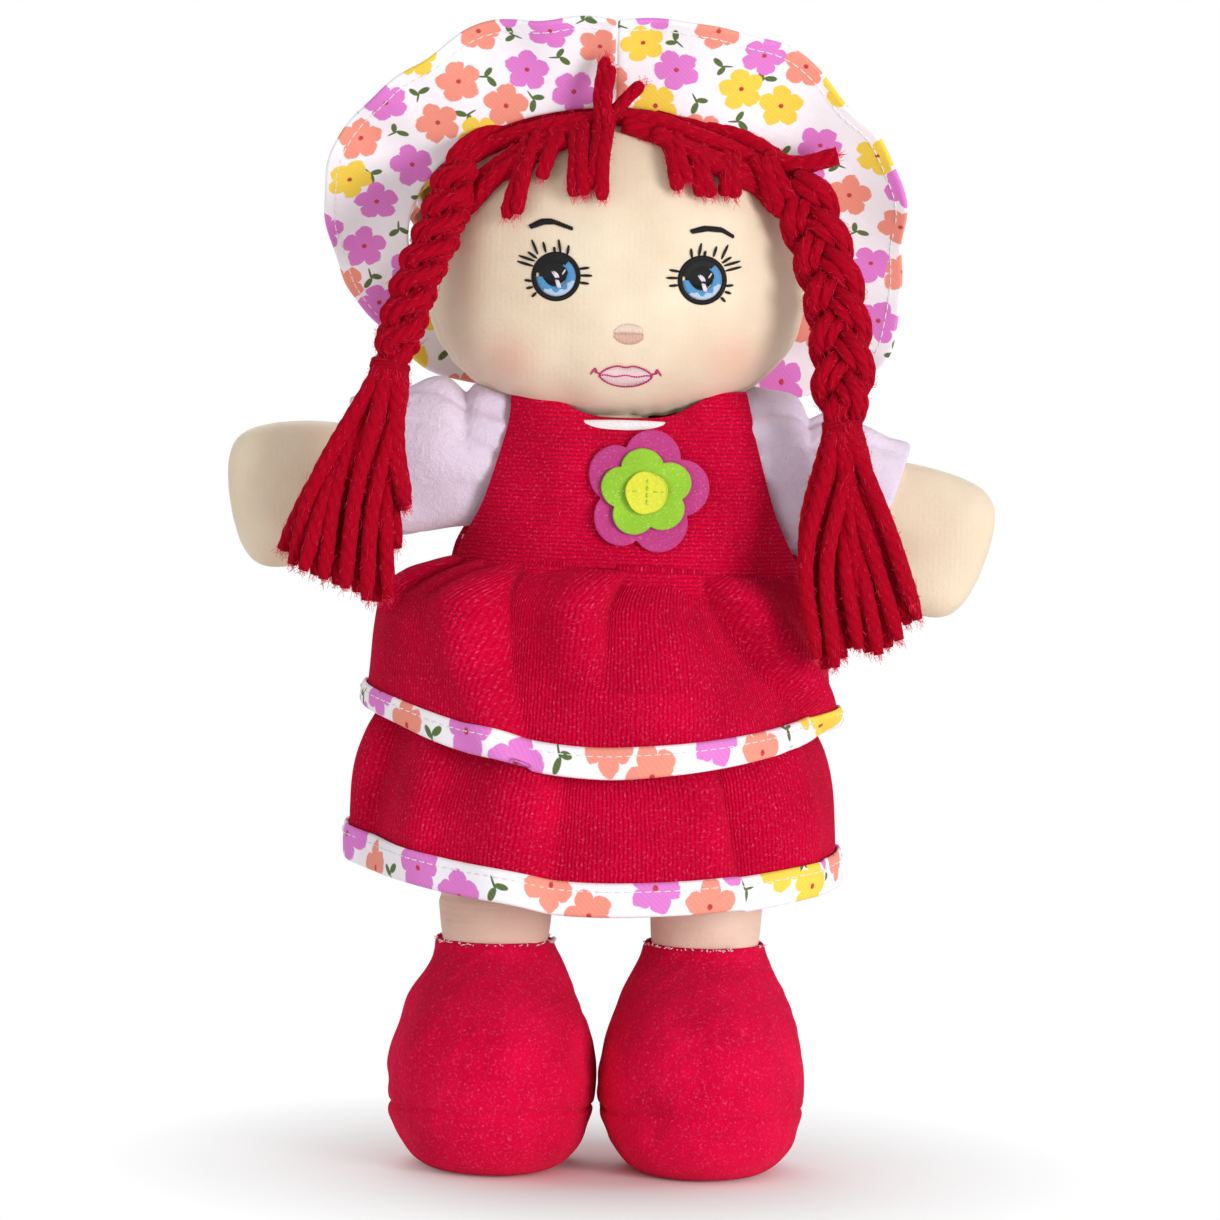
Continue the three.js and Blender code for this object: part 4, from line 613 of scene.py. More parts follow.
cotton, cotton_tree, cotton_shader = material("flower_cotton", 0.78, sheen=0.08)
cloth_place = add(cotton_tree, "UVMap").outputs["UV"]
print_colour = placed(cotton_tree, printed, Place=cloth_place)
twill = add(cotton_tree, "TexWave", {"bands_direction": "DIAGONAL"}, Vector=cloth_place, Scale=420.0, Distortion=0.6)
crumple = add(cotton_tree, "TexNoise", Vector=cloth_place, Scale=120.0, Detail=3.0)
raised(cotton_tree, cotton_shader,
       calc(cotton_tree, "MULTIPLY_ADD", twill.outputs["Fac"], 0.05, crumple.outputs["Fac"]), 0.0005, 0.7)
toned = mixed(cotton_tree, calc(cotton_tree, "MULTIPLY", twill.outputs["Fac"], 0.04),
              print_colour.outputs["Color"], rgb(255, 255, 255))
cotton_tree.links.new(toned, cotton_shader.inputs["Base Color"])


def opening(turn, grow, depth, share=1.0):
    """Points of the hat's oval opening, grown and moved back."""
    across = (share * OPENING_HALF[0] + grow) * np.cos(turn)
    up = (share * OPENING_HALF[1] + grow) * np.sin(turn)
    return (OPENING_MIDDLE + across[..., None] * np.array([1.0, 0, 0]) + up[..., None] * UP
            + np.asarray(depth)[..., None] * BACK)


def brim(turn, share):
    """Straight line from the opening to the outer oval at each turn; the edge waves, and the width cups."""
    inner = opening(turn, HAT_WALL - 3.0 * np.maximum(np.sin(turn), 0) ** 2, -1.0 + 0 * turn)
    droop = 1 + 0.19 * np.exp(-((((turn + 0.68 + np.pi) % (2 * np.pi) - np.pi) / 0.36) ** 2))
    outer = (OPENING_MIDDLE + BRIM_SHIFT
             + ((OPENING_HALF[0] + BRIM_REACH[0]) * droop * np.cos(turn))[..., None] * np.array([1.0, 0, 0])
             + ((OPENING_HALF[1] + BRIM_REACH[1]) * droop * np.sin(turn))[..., None] * BRIM_UP)
    wave = 2.2 * share ** 2 * np.sin(5 * turn) - 2.0 * np.sin(np.pi * share)
    wave = wave + 1.5 * share * np.sin(11 * turn + 1.0) + 0.8 * share * np.sin(23 * turn) * np.sin(3 * turn)
    bent = 2.4 * np.exp(-(((turn % (2 * np.pi) - 2.75) / 0.10) ** 2)) + 2.0 * np.exp(-(((turn - 0.35) / 0.08) ** 2))
    wave = wave - bent * share
    ragged = share * (1.1 * np.sin(7 * turn + 0.5) + 0.7 * np.sin(16 * turn))
    line = inner + (outer - inner) * share[..., None]
    way_out = (outer - inner) / np.linalg.norm(outer - inner, axis=-1, keepdims=True)
    return line + way_out * (ragged * 0.8)[..., None] - BACK * wave[..., None]


def finished(made, **modifiers):
    """Thickens a sheet and rounds its edge with live modifiers, given as kind=settings."""
    for kind, settings in modifiers.items():
        modifier = made.modifiers.new(kind.lower(), kind)
        for key, value in settings.items():
            setattr(modifier, key, value)
    return made


SEAM_TURN = 0.002
for side, sign in (("right", -1), ("left", 1)):
    turn = np.pi / 2 - sign * np.linspace(SEAM_TURN, np.pi - SEAM_TURN, 150)[None]
    share = np.linspace(0, 1, 26)[:, None]
    points = brim(turn + 0 * share, share + 0 * turn)
    seam_turn = np.abs(np.cos(turn))
    points = points - BACK * (0.9 * np.exp(-((seam_turn / 0.04) ** 2)) * share)[..., None]
    cloth_at = np.stack([points[..., 0] + 31 * sign, points @ BRIM_UP], -1)
    half_brim = piece("hat_brim_" + side + "_cloth",
                      loop_mesh("hat_brim_" + side, points, cloth_at[None], around=False, ends=False),
                      cotton, "head", "flower_cotton", "hat_brim_" + side)
    finished(half_brim, SOLIDIFY={"thickness": 0.0016, "offset": 0.0},
             SUBSURF={"levels": 1, "render_levels": 1})

down = np.sin(np.linspace(0, 1, 44) * np.pi / 2)[:, None]
turn = np.linspace(0, 2 * np.pi, 161)[None]
shrink = np.maximum(1 - down ** 2.6, 1e-6) ** (1 / 2.6)
crown_points = opening(turn + 0 * down, 1.0 * shrink, down * CROWN_DEPTH + 0 * turn, shrink + 0 * turn)
middle = OPENING_MIDDLE + BACK * 10
outward = crown_points - middle
outward /= np.linalg.norm(outward, axis=-1, keepdims=True)
gather = 1.1 * np.sin(30 * turn + 2 * np.sin(4 * turn)) * np.exp(-down * 6) + 0.8 * ripple(crown_points, 5, 30)
crown_points = crown_points + outward * gather[..., None]
steps_down = np.linalg.norm(np.diff(crown_points[::-1], axis=0), axis=-1)
from_top = np.concatenate([0 * steps_down[:1], np.cumsum(steps_down, axis=0)])[::-1]
crown_uv = np.stack([from_top * np.cos(turn), from_top * np.sin(turn)], -1)
hat_crown = piece("hat_crown_cloth", loop_mesh("hat_crown", crown_points[:, :-1], crown_uv[None], ends=False),
                  cotton, "head", "flower_cotton", "hat_crown")
finished(hat_crown, SOLIDIFY={"thickness": 0.0012, "offset": -1.0})


def running_stitches(path, out, radius=0.18, length=2.3, pitch=3.0, sides=6, steps=5):
    """Short threads in a row along a path (n, 3): every pitch one, which dips at both ends into the cloth."""
    gone = np.concatenate([[0], np.cumsum(np.linalg.norm(np.diff(path, axis=0), axis=1))])
    starts = np.arange(pitch / 2, gone[-1] - length, pitch)
    t = np.linspace(0, 1, steps)
    at = starts[:, None] + length * t[None]
    line = np.stack([np.interp(at, gone, path[:, k]) for k in range(3)], -1)
    away = np.stack([np.interp(at, gone, out[:, k]) for k in range(3)], -1)
    away /= np.linalg.norm(away, axis=-1, keepdims=True)
    along = np.gradient(line, axis=1)
    along /= np.linalg.norm(along, axis=-1, keepdims=True)
    across = np.cross(along, away)
    line = line + away * (radius * (1.5 * np.sin(np.pi * t) - 0.6))[None, :, None]
    turn = np.linspace(0, 2 * np.pi, sides, endpoint=False)[None, None, :, None]
    return line[:, :, None] + radius * (across[:, :, None] * np.cos(turn) + away[:, :, None] * np.sin(turn))


edge_turn = np.linspace(0, 2 * np.pi, 900)
edge_share = np.full(900, 0.875)
stitch_line = brim(edge_turn, edge_share) - BACK * 0.85
sewing = thread("sewing_thread", rgb(252, 250, 252))
piece("hat_topstitch", loop_mesh("hat_topstitch", running_stitches(stitch_line, -BACK + 0 * stitch_line)), sewing,
      "head", "flower_cotton")

# Hair: bulky plied yarn, three plies twisted together, about four millimetres thick and a little fuzzy. The
# fringe lies in rows along the hairline, with frayed locks, and two locks stand up at the parting.
YARN_RED = rgb(214, 4, 44)
YARN_LIGHT = rgb(242, 70, 100)
YARN_DARK = rgb(172, 0, 30)
YARN_GIRTH = 14.5
YARN_TWIST = 19.0
YARN_PLIES = 4
FRINGE = {
    # yarns of the band as (x, z) from the parting to the temple; locks as the middle of the top and of the tip
    "right": {
        "band": [((-4, 322.5), (-20, 320.5), (-36, 315.5), (-48, 308)), ((-4, 319), (-22, 316), (-38, 310.5), (-49, 303)),
                 ((-9, 316), (-23, 311.5), (-35, 305), (-46, 296)), ((-16, 312.5), (-27, 307), (-37, 300.5), (-45.5, 291.5))],
        "locks": [((-26.0, 311), (-31.6, 289.0), 2), ((-19.5, 312), (-22.5, 299.3), 1), ((-12.6, 315), (-11.4, 296.4), 2),
                  ((-5.0, 317), (-6.2, 295.4), 2)],
        "end": (-49.6, -20.5, 300)},
    "left": {
        "band": [((-2, 323), (10, 322), (24, 318.4), (37, 314), (47, 308.5)), ((-2, 320), (11, 318.5), (23, 314.5), (35, 310), (47, 303.5)),
                 ((1, 317.5), (12, 314), (23, 309.5), (36, 305), (47, 298)), ((10, 315), (20, 310), (31, 304.5), (42, 299.5), (49, 293))],
        "locks": [((15.0, 311), (19.6, 298.2), 2), ((22.5, 307), (26.6, 296.8), 2), ((33.0, 306), (33.6, 296.4), 2),
                  ((43.0, 305), (50.0, 291.0), 3)],
        "end": (55.0, -19, 301)},
}
LOOSE_END = ((44, 308.5), (54, 306.5), (65.5, 309.5))

yarn_red, yarn_tree, yarn_shader = material("red_yarn", 0.85, sheen=0.16, sheen_tint=rgb(255, 60, 90), specular=0.06)
on_yarn = add(yarn_tree, "UVMap").outputs["UV"]
along_yarn = add(yarn_tree, "Mapping", Vector=on_yarn)
along_yarn.inputs["Scale"].default_value = (1.0, 0.16, 1.0)
along_yarn.inputs["Rotation"].default_value = (0.0, 0.0, np.arctan2(YARN_GIRTH, YARN_TWIST))
hairs = add(yarn_tree, "TexNoise", Vector=along_yarn.outputs[0], Scale=2100.0, Detail=4.0, Roughness=0.7)
yarn_xyz = add(yarn_tree, "SeparateXYZ", Vector=on_yarn)
ply = calc(yarn_tree, "MULTIPLY_ADD", yarn_xyz.outputs["X"], YARN_PLIES * np.pi / (YARN_GIRTH * MM),
           calc(yarn_tree, "MULTIPLY", yarn_xyz.outputs["Y"], YARN_PLIES * np.pi / (YARN_TWIST * MM)))
ply = calc(yarn_tree, "ABSOLUTE", calc(yarn_tree, "COSINE", ply))
loose = add(yarn_tree, "TexNoise", Vector=add(yarn_tree, "TexCoord").outputs["Object"], Scale=160.0, Detail=3.0)
# Painted shade: the yarn darkens towards the grooves between its plies, over a tone that varies at random along the
# hairs.
hair_tone_and_ply_shade = calc(yarn_tree, "MULTIPLY_ADD", hairs.outputs["Fac"], 1.5, -0.55, clamp=True)
hair_tone_and_ply_shade = calc(yarn_tree, "MULTIPLY", hair_tone_and_ply_shade, calc(yarn_tree, "POWER", ply, 0.55))
hair_colour = mixed(yarn_tree, hair_tone_and_ply_shade, YARN_DARK, YARN_RED)
glints = calc(yarn_tree, "MULTIPLY_ADD", hairs.outputs["Fac"], 6.0, -3.55, clamp=True)
glints = calc(yarn_tree, "MULTIPLY", glints, calc(yarn_tree, "MULTIPLY_ADD", loose.outputs["Fac"], 3.0, -1.0, clamp=True))
yarn_tree.links.new(mixed(yarn_tree, glints, hair_colour, YARN_LIGHT), yarn_shader.inputs["Base Color"])
raised(yarn_tree, yarn_shader, calc(yarn_tree, "MULTIPLY_ADD", ply, 0.8, hairs.outputs["Fac"]), 0.0006)



def curve(knots, count):
    """Smooth path (count, 3) through knots: Catmull-Rom cubics of equal time, worked out for all points at once."""
    knots = np.asarray(knots, float)
    padded_knots = np.concatenate([2 * knots[:1] - knots[1:2], knots, 2 * knots[-1:] - knots[-2:-1]])
    at = np.linspace(0, len(knots) - 1, count)
    k = np.minimum(at.astype(int), len(knots) - 2)
    t = (at - k)[:, None]
    a, b, c, d = (padded_knots[k + n] for n in range(4))
    return 0.5 * (2 * b + (c - a) * t + (2 * a - 5 * b + 4 * c - d) * t ** 2 + (3 * b - a - 3 * c + d) * t ** 3)


def yarn(paths, radius, sides=16, fray=0.0):
    """
    Plied yarn along paths (n, rows, 3): the radius r (0.8 + 0.2 |cos(plies a / 2)|) turns once per twist, and
    thins to its end. Returns the grids and their cloth places.
    """
    paths = np.asarray(paths, float)
    step = np.gradient(paths, axis=1)
    along = step / np.maximum(np.linalg.norm(step, axis=-1, keepdims=True), 1e-9)
    gone = np.cumsum(np.linalg.norm(step, axis=-1), axis=1)
    across = np.cross(along, np.array([0.13, 0.94, 0.31]))
    across /= np.linalg.norm(across, axis=-1, keepdims=True)
    deep = np.cross(along, across)
    share = np.linspace(0, 1, paths.shape[1])[None, :, None]
    turn = np.linspace(0, 2 * np.pi, sides, endpoint=False)[None, None]
    twist = turn + (2 * np.pi * gone / YARN_TWIST)[..., None]
    swell = 0.82 + 0.18 * np.abs(np.cos(YARN_PLIES * twist / 2)) ** 0.7
    thin = 1 - fray * np.clip((share - 0.93) / 0.07, 0, 1)
    reach = np.asarray(radius) * swell * thin
    grids = (paths[:, :, None] + (reach * np.cos(turn))[..., None] * across[:, :, None]
             + (reach * np.sin(turn))[..., None] * deep[:, :, None])
    around_yarn = np.linspace(0, YARN_GIRTH, sides + 1)
    uv = np.stack([around_yarn + 0 * gone[..., None], gone[..., None] + 0 * around_yarn], -1)
    return grids, uv


def yarn_piece(name, batches, body, *nodes):
    """One piece of hair from several batches of yarns with equal rows."""
    grids = np.concatenate([batch[0] for batch in batches])
    uv = np.concatenate([batch[1] for batch in batches])
    return piece(name, loop_mesh(name, grids, uv), yarn_red, body, "red_yarn", *nodes)


# The loose fibres are coloured lighter than the yarn they come from, as painted light that makes up for the shade the
# thin fibres fall in.
loose_fibre, _, loose_shader = material("loose_fibre", 0.9)
loose_shader.inputs["Base Color"].default_value = rgb(240, 40, 84)


def fibres(name, body, runs, tips, ways, seed, radius=0.075, steps=4):
    """
    Loose fibres of the yarn: short bent threads that leave its sides at a slant, about two per millimetre, and
    tufts that spread from the cut ends. runs holds arrays of paths (n, rows, 3), each with its yarn radius.
    """
    chance = np.random.default_rng(seed)
    starts, ends = [], []
    for paths, thick in runs:
        paths = np.asarray(paths, float)
        way = np.diff(paths, axis=1)
        gaps = np.linalg.norm(way, axis=-1, keepdims=True)
        count = int(1.6 * gaps.sum())
        pick = chance.integers(0, gaps.size, count)
        way = (way / np.maximum(gaps, 1e-9)).reshape(-1, 3)[pick]
        side = chance.normal(size=(count, 3))
        side -= way * (side * way).sum(axis=1, keepdims=True)
        side /= np.linalg.norm(side, axis=1, keepdims=True)
        start = paths[:, :-1].reshape(-1, 3)[pick] + side * thick * 0.85
        starts.append(start)
        ends.append(start + side * chance.uniform(0.3, 1.3, (count, 1)) + way * chance.normal(0, 1.6, (count, 1)))
    tips = np.repeat(np.asarray(tips, float), 22, axis=0)
    ways = np.repeat(np.asarray(ways, float), 22, axis=0)
    starts.append(tips - ways * 1.2 + chance.normal(size=tips.shape) * 0.8)
    ends.append(tips + (ways + chance.normal(size=tips.shape) * 0.3) * chance.uniform(0.4, 1.6, (len(tips), 1))
                + chance.normal(size=tips.shape) * 0.8)
    starts, ends = np.concatenate(starts), np.concatenate(ends)
    t = np.linspace(0, 1, steps)[None, :, None]
    bend = chance.normal(size=starts.shape)[:, None] * 0.35 * np.sin(np.pi * t)
    line = starts[:, None] * (1 - t) + ends[:, None] * t + bend
    grids, uv = yarn(line, radius, sides=3)
    return piece(name, loop_mesh(name, grids, uv), loose_fibre, body, "red_yarn")


ROWS = 24


def over_face(knots, out):
    """Path over the face through knots (x, z), lifted by out; near the temples it stays at the cheek's depth."""
    knots = np.asarray(knots, float)
    rise = (knots[:, 1] - CHIN - CHEEK_HEIGHT) / (HEAD_HEIGHT - CHEEK_HEIGHT)
    edge = 0.86 * HEAD_HALF_WIDTH * head_share(rise)
    at = on_face(np.clip(knots[:, 0], -edge, edge), knots[:, 1], np.asarray(out) + 0 * edge)
    at[:, 0] = knots[:, 0]
    return at


hair_runs, hair_tips, hair_ways = [], [], []


def cut_end(path):
    """Notes the end of a yarn, where its fibres spread."""
    hair_tips.append(path[-1])
    hair_ways.append((path[-1] - path[-3]) / np.linalg.norm(path[-1] - path[-3]))


for side, fringe in FRINGE.items():
    bands = []
    for number, band in enumerate(fringe["band"]):
        line = over_face(band, 2.4 + 1.2 * (number % 2) + 0.7 * np.sin(2.1 * np.arange(len(band)) + number))
        end = np.array(fringe["end"]) + np.array([0.0, 1.2 * number, -1.5 * number])
        bands.append(curve(np.concatenate([line, end[None]]), ROWS))
    if side == "left":
        bands.append(curve(over_face(LOOSE_END, [4.0, 6.0, 7.0]), ROWS))
        cut_end(bands[-1])
    locks = []
    chance = np.random.default_rng(11 if side == "right" else 12)
    for (top_x, top_z), (tip_x, tip_z), yarns_in_lock in fringe["locks"]:
        for k in range(yarns_in_lock):
            beside = 2.6 * (k - (yarns_in_lock - 1) / 2)
            t = np.linspace(0, 1, 5)
            x = top_x + (tip_x - top_x) * t + beside * (1.1 - 0.2 * t) + 0.5 * np.sin(5 * t + 2 * k)
            z = top_z + 3 + (tip_z - top_z - 3 + chance.uniform(-1.0, 2.6)) * t
            lift = 2.6 + 2.2 * np.sin(np.pi * t * 0.85) + 0.8 * (k % 2) + max(0.3 * (top_x - 30), 0)
            locks.append(curve(over_face(np.stack([x, z], -1), lift), ROWS))
            cut_end(locks[-1])
    yarn_piece("fringe_" + side + "_yarn", [yarn(bands, 2.9), yarn(locks, 2.3, fray=0.4)], "head", "fringe_" + side)
    hair_runs += [(bands, 2.9), (locks, 2.3)]

TUFT_LOCKS = (((-5.5, 317), (-6.2, 326), (-4.6, 337.0)), ((-3.6, 317), (-4.4, 325), (-3.0, 334.5)),
              ((-4.5, 318), (0.5, 323.5), (6.4, 329.6)))
tuft = []
for number, lock in enumerate(TUFT_LOCKS):
    flat = np.asarray(lock)
    base = over_face(np.stack([flat[:, 0], np.minimum(flat[:, 1], 320)], -1), 5.0)
    base[:, 2] = flat[:, 1]
    base[:, 1] = base[0, 1] - np.array([0.0, 3.0, 4.5]) - 0.8 * (number % 2)
    tuft.append(curve(base, ROWS))
    cut_end(tuft[-1])
yarn_piece("hair_tuft_yarn", [yarn(tuft, 2.1, fray=0.4)], "head", "hair_tuft")
fibres("head_hair_fibres", "head", hair_runs + [(tuft, 2.1)], hair_tips, hair_ways, 31)

# Plaits: three strands of three yarns each, worked over and under each other from the temple to a tie just
# below the chin, where they are pulled together and wound; the loose ends below hang as a tassel.
PLAITS = {
    "right": {"path": ((-47.5, -22, 303), (-53.0, -27, 285), (-58.8, -31, 271), (-63.0, -35, 257), (-66.2, -37, 245)),
              "swing": (4.2, 3.5), "pitch": 26.0, "turned": -np.pi / 2, "half": (2.3, 2.1), "yarn": 2.0,
              "tips": ((-98, -33, 188), (-94.5, -38, 184), (-91, -43, 182.5), (-88, -35, 181), (-85, -42, 180),
                       (-81.5, -33, 178), (-78.5, -42, 177.5), (-75, -35, 176), (-72, -42, 174), (-69, -37, 173.5),
                       (-65.5, -41, 174.5), (-61.5, -37, 201), (-60.5, -41, 202.5)),
              "bulge": -2.0},
    "left": {"path": ((53.0, -22, 302), (60.5, -27, 283), (65.5, -31, 266), (68.0, -35, 248), (68.4, -37, 230.5)),
             "swing": (5.6, 3.6), "pitch": 38.0, "turned": 0.15, "half": (2.5, 1.6), "yarn": 1.95,
             "tips": ((60, -38, 168), (62.5, -43, 160), (65.5, -38, 156.5), (68, -43, 157.5), (70.5, -38, 160),
                      (75, -42, 163), (78, -37, 162), (81, -42, 161.5), (84, -37, 163.5), (87, -41, 166),
                      (92.5, -38, 172), (90.5, -42, 177), (58.5, -40, 181)),
             "bulge": -4.5},
}
STRAND_YARNS = 4
TIE_TURNS = 3.0
PLAIT_ROWS = 170
TASSEL_ROWS = 60

for side, plait in PLAITS.items():
    middle = curve(plait["path"], PLAIT_ROWS)
    step = np.gradient(middle, axis=0)
    along = step / np.linalg.norm(step, axis=1, keepdims=True)
    gone = np.cumsum(np.linalg.norm(step, axis=1))
    across = np.array([1.0, 0, 0]) - along * along[:, :1]
    across /= np.linalg.norm(across, axis=1, keepdims=True)
    deep = np.cross(along, across)
    share = gone / gone[-1]
    pinch = 1 - 0.62 * np.clip((share - 0.86) / 0.14, 0, 1) ** 1.5 - 0.25 * np.clip((0.1 - share) / 0.1, 0, 1)
    lay = 1.0 if side == "left" else -1.0
    strands = []
    for number in range(3):
        t = 2 * np.pi * (gone / plait["pitch"] + number / 3 + (0.12 if side == "right" else 0.0))
        turned = plait["turned"]
        side_way = across * np.cos(turned) + deep * np.sin(turned)
        deep_way = deep * np.cos(turned) - across * np.sin(turned)
        core = (middle + side_way * (plait["swing"][0] * pinch * np.sin(t))[:, None] * lay
                + deep_way * (plait["swing"][1] * pinch * np.sin(2 * t))[:, None])
        way_on = np.gradient(core, axis=0)
        way_on /= np.linalg.norm(way_on, axis=1, keepdims=True)
        flat_way = np.cross(deep_way, way_on)
        flat_way /= np.linalg.norm(flat_way, axis=1, keepdims=True)
        k = np.arange(STRAND_YARNS)[:, None]
        roll = 2 * np.pi * (k / STRAND_YARNS + 0.125) + 0.5 * np.sin(t)[None]
        narrowed = 0.5 + 0.5 * pinch
        yarns = (core[None] + flat_way[None] * (plait["half"][0] * narrowed * np.cos(roll))[..., None]
                 + deep_way[None] * (plait["half"][1] * narrowed * np.sin(roll))[..., None])
        strand = f"{side}_plait_strand_{number + 1}"
        yarn_piece(strand + "_yarn", [yarn(yarns, plait["yarn"])], side + "_plait_body", strand)
        strands.append((yarns, plait["yarn"]))
    knot = middle[-1]
    down_way = along[-1]
    turn = np.linspace(0, 2 * np.pi * TIE_TURNS, 160)
    round_knot = 5.0 + 0.25 * np.sin(3 * turn)
    tie_line = (knot + down_way * (0.6 + 2.6 * turn / turn[-1])[:, None]
                + across[-1] * (round_knot * np.cos(turn))[:, None]
                + deep[-1] * (0.9 * round_knot * np.sin(turn))[:, None])
    yarn_piece(side + "_plait_tie_yarn", [yarn(tie_line[None], 1.1)], side + "_plait_body",
               side + "_plait_tie")
    chance = np.random.default_rng(41 if side == "left" else 42)
    tassel = []
    tips = np.array(plait["tips"], float)
    behind = (tips[1:] + tips[:-1]) / 2 + np.array([0, 5.0, 1.5])
    for number, tip in enumerate(np.concatenate([tips, behind])):
        spin = 2.4 * number
        start = knot + across[-1] * 3.1 * np.cos(spin) + deep[-1] * 3.0 * np.sin(spin) + down_way * 0.5
        neck = start + (start - knot) * 0.35 + (tip - start) * 0.16
        belly = neck + (tip - neck) * 0.5 + np.array([0.1 * (tip[0] - knot[0]) + plait["bulge"] * (
            1 if abs(tip[0] - knot[0]) < 9 else 0.3), -1.2, 0.0])
        tassel.append(curve([start, neck, belly, tip], TASSEL_ROWS))
    tassel = np.array(tassel)
    tips = tassel[:, -1]
    ways = tassel[:, -1] - tassel[:, -3]
    ways /= np.linalg.norm(ways, axis=1, keepdims=True)
    yarn_piece(side + "_tassel_yarn", [yarn(tassel, 2.4, fray=0.35)], side + "_plait_body", side + "_tassel")
    fibres(side + "_plait_fibres", side + "_plait_body", strands + [(tassel, 2.4)], tips, ways, 51)

# Bodice: brushed red knit, a front and a back panel that meet at the side seams and are cut away round the
# arms. Its ribs lie level at the waist, where it joins the skirt.
KNIT = rgb(226, 2, 60)
KNIT_LIGHT = rgb(252, 92, 136)
KNIT_DARK = rgb(196, 0, 48)
GARMENT_TILT = 0.036
BODICE_ROWS = np.array([
    # height, half width at the side, half depth, where the armhole cuts it
    [176.0, 52.5, 28.0, 52.5], [181.0, 52.5, 28.2, 52.5], [188.0, 52.0, 28.4, 51.0], [195.0, 50.5, 28.4, 47.5],
    [202.0, 49.0, 28.0, 44.2], [210.0, 47.0, 27.0, 41.6], [219.0, 44.5, 25.0, 39.0], [227.0, 41.5, 22.0, 37.0],
    [238.0, 38.5, 17.0, 35.5]])
BODICE_ASIDE = 5.6

ribbed, ribbed_in, ribbed_out = group("knit_ribs", {"Place": "Vector", "Pitch": "Float"}, {"Height": "Float"})
rib_xyz = add(ribbed, "SeparateXYZ", Vector=ribbed_in.outputs["Place"])
waver = add(ribbed, "TexNoise", Vector=ribbed_in.outputs["Place"], Scale=260.0, Detail=3.0)
rib_at = calc(ribbed, "DIVIDE", rib_xyz.outputs["X"], ribbed_in.outputs["Pitch"])
rib_at = calc(ribbed, "MULTIPLY_ADD", waver.outputs["Fac"], 0.9, rib_at)
rib = calc(ribbed, "ABSOLUTE", calc(ribbed, "SINE", calc(ribbed, "MULTIPLY", rib_at, np.pi)))
row_at = calc(ribbed, "DIVIDE", rib_xyz.outputs["Y"], calc(ribbed, "MULTIPLY", ribbed_in.outputs["Pitch"], 0.72))
row = calc(ribbed, "SINE", calc(ribbed, "MULTIPLY", row_at, 2 * np.pi))
ribbed.links.new(calc(ribbed, "MULTIPLY_ADD", row, 0.05, calc(ribbed, "MULTIPLY", rib, 0.8)),
                 ribbed_out.inputs["Height"])


def knit(name, swap):
    """Brushed knit on the cloth's own places, with painted shade in the gaps between the ribs; swap turns the ribs
    level.
    """
    made, tree, shader = material(name, 0.9, sheen=0.14, sheen_tint=rgb(255, 70, 110), specular=0.05)
    cloth_at = add(tree, "UVMap").outputs["UV"]
    if swap:
        turned = add(tree, "Mapping", Vector=cloth_at)
        turned.inputs["Rotation"].default_value = (0.0, 0.0, np.pi / 2)
        cloth_at = turned.outputs[0]
    fuzz = placed(tree, brushed, Place=cloth_at, Ground=KNIT, Fibre=KNIT_LIGHT, Shade=KNIT_DARK, Grain=1300.0,
                  Fuzz=0.75)
    ribs = placed(tree, ribbed, Place=cloth_at, Pitch=0.00125)
    # Painted shade: the knit's darker colour is laid into the gaps between the ribs, where shade falls.
    valley = calc(tree, "MULTIPLY_ADD", ribs.outputs["Height"], -0.6, 0.46, clamp=True)
    tree.links.new(mixed(tree, valley, fuzz.outputs["Color"], KNIT_DARK), shader.inputs["Base Color"])
    height = calc(tree, "MULTIPLY_ADD", fuzz.outputs["Height"], 0.8, ribs.outputs["Height"])
    raised(tree, shader, height, 0.0005)
    return made


red_knit = knit("red_knit", False)
red_knit_level = knit("red_knit_level", True)


def smooth(rows, t):
    """Columns of a table at shares t of its rows, on smooth cubics through every row."""
    at = np.clip(t, 0, 1) * (len(rows) - 1)
    table = np.concatenate([2 * rows[:1] - rows[1:2], rows, 2 * rows[-1:] - rows[-2:-1]])
    k = np.minimum(at.astype(int), len(rows) - 2)
    s = (at - k)[..., None]
    a, b, c, d = (table[k + n] for n in range(4))
    return 0.5 * (2 * b + (c - a) * s + (2 * a - 5 * b + 4 * c - d) * s ** 2 + (3 * b - a - 3 * c + d) * s ** 3)


def bodice(t, across, facing):
    """Panel from side to side: x = edge * s and y = -depth (1 - |x / width| ^ p) ^ (1 / p), p rising to 3."""
    height, width, depth, edge = np.moveaxis(smooth(BODICE_ROWS, t), -1, 0)
    power = 2.1 + 1.1 * np.clip((height - 188) / 20, 0, 1)
    x = edge * np.sin(across * np.pi / 2)
    y = depth * np.maximum(1 - np.abs(x / width) ** power, 0) ** (1 / power)
    points = np.stack([x, facing * y, height + 0 * x], -1)
    soft = 0.55 * ripple(points, 61, 30) + 0.25 * ripple(points, 62, 12)
    points[..., 1] += facing * soft * np.clip(1.3 - np.abs(across), 0, 1)
    points[..., 2] += -GARMENT_TILT * x * np.clip((232 - height) / 45, 0, 1) - (8.5 if facing < 0 else 0.0) * np.exp(-((x / 21) ** 4)) * t ** 8
    points[..., 0] += BODICE_ASIDE * np.clip((235 - height) / 50 + 0.9, 0, 1)
    return points


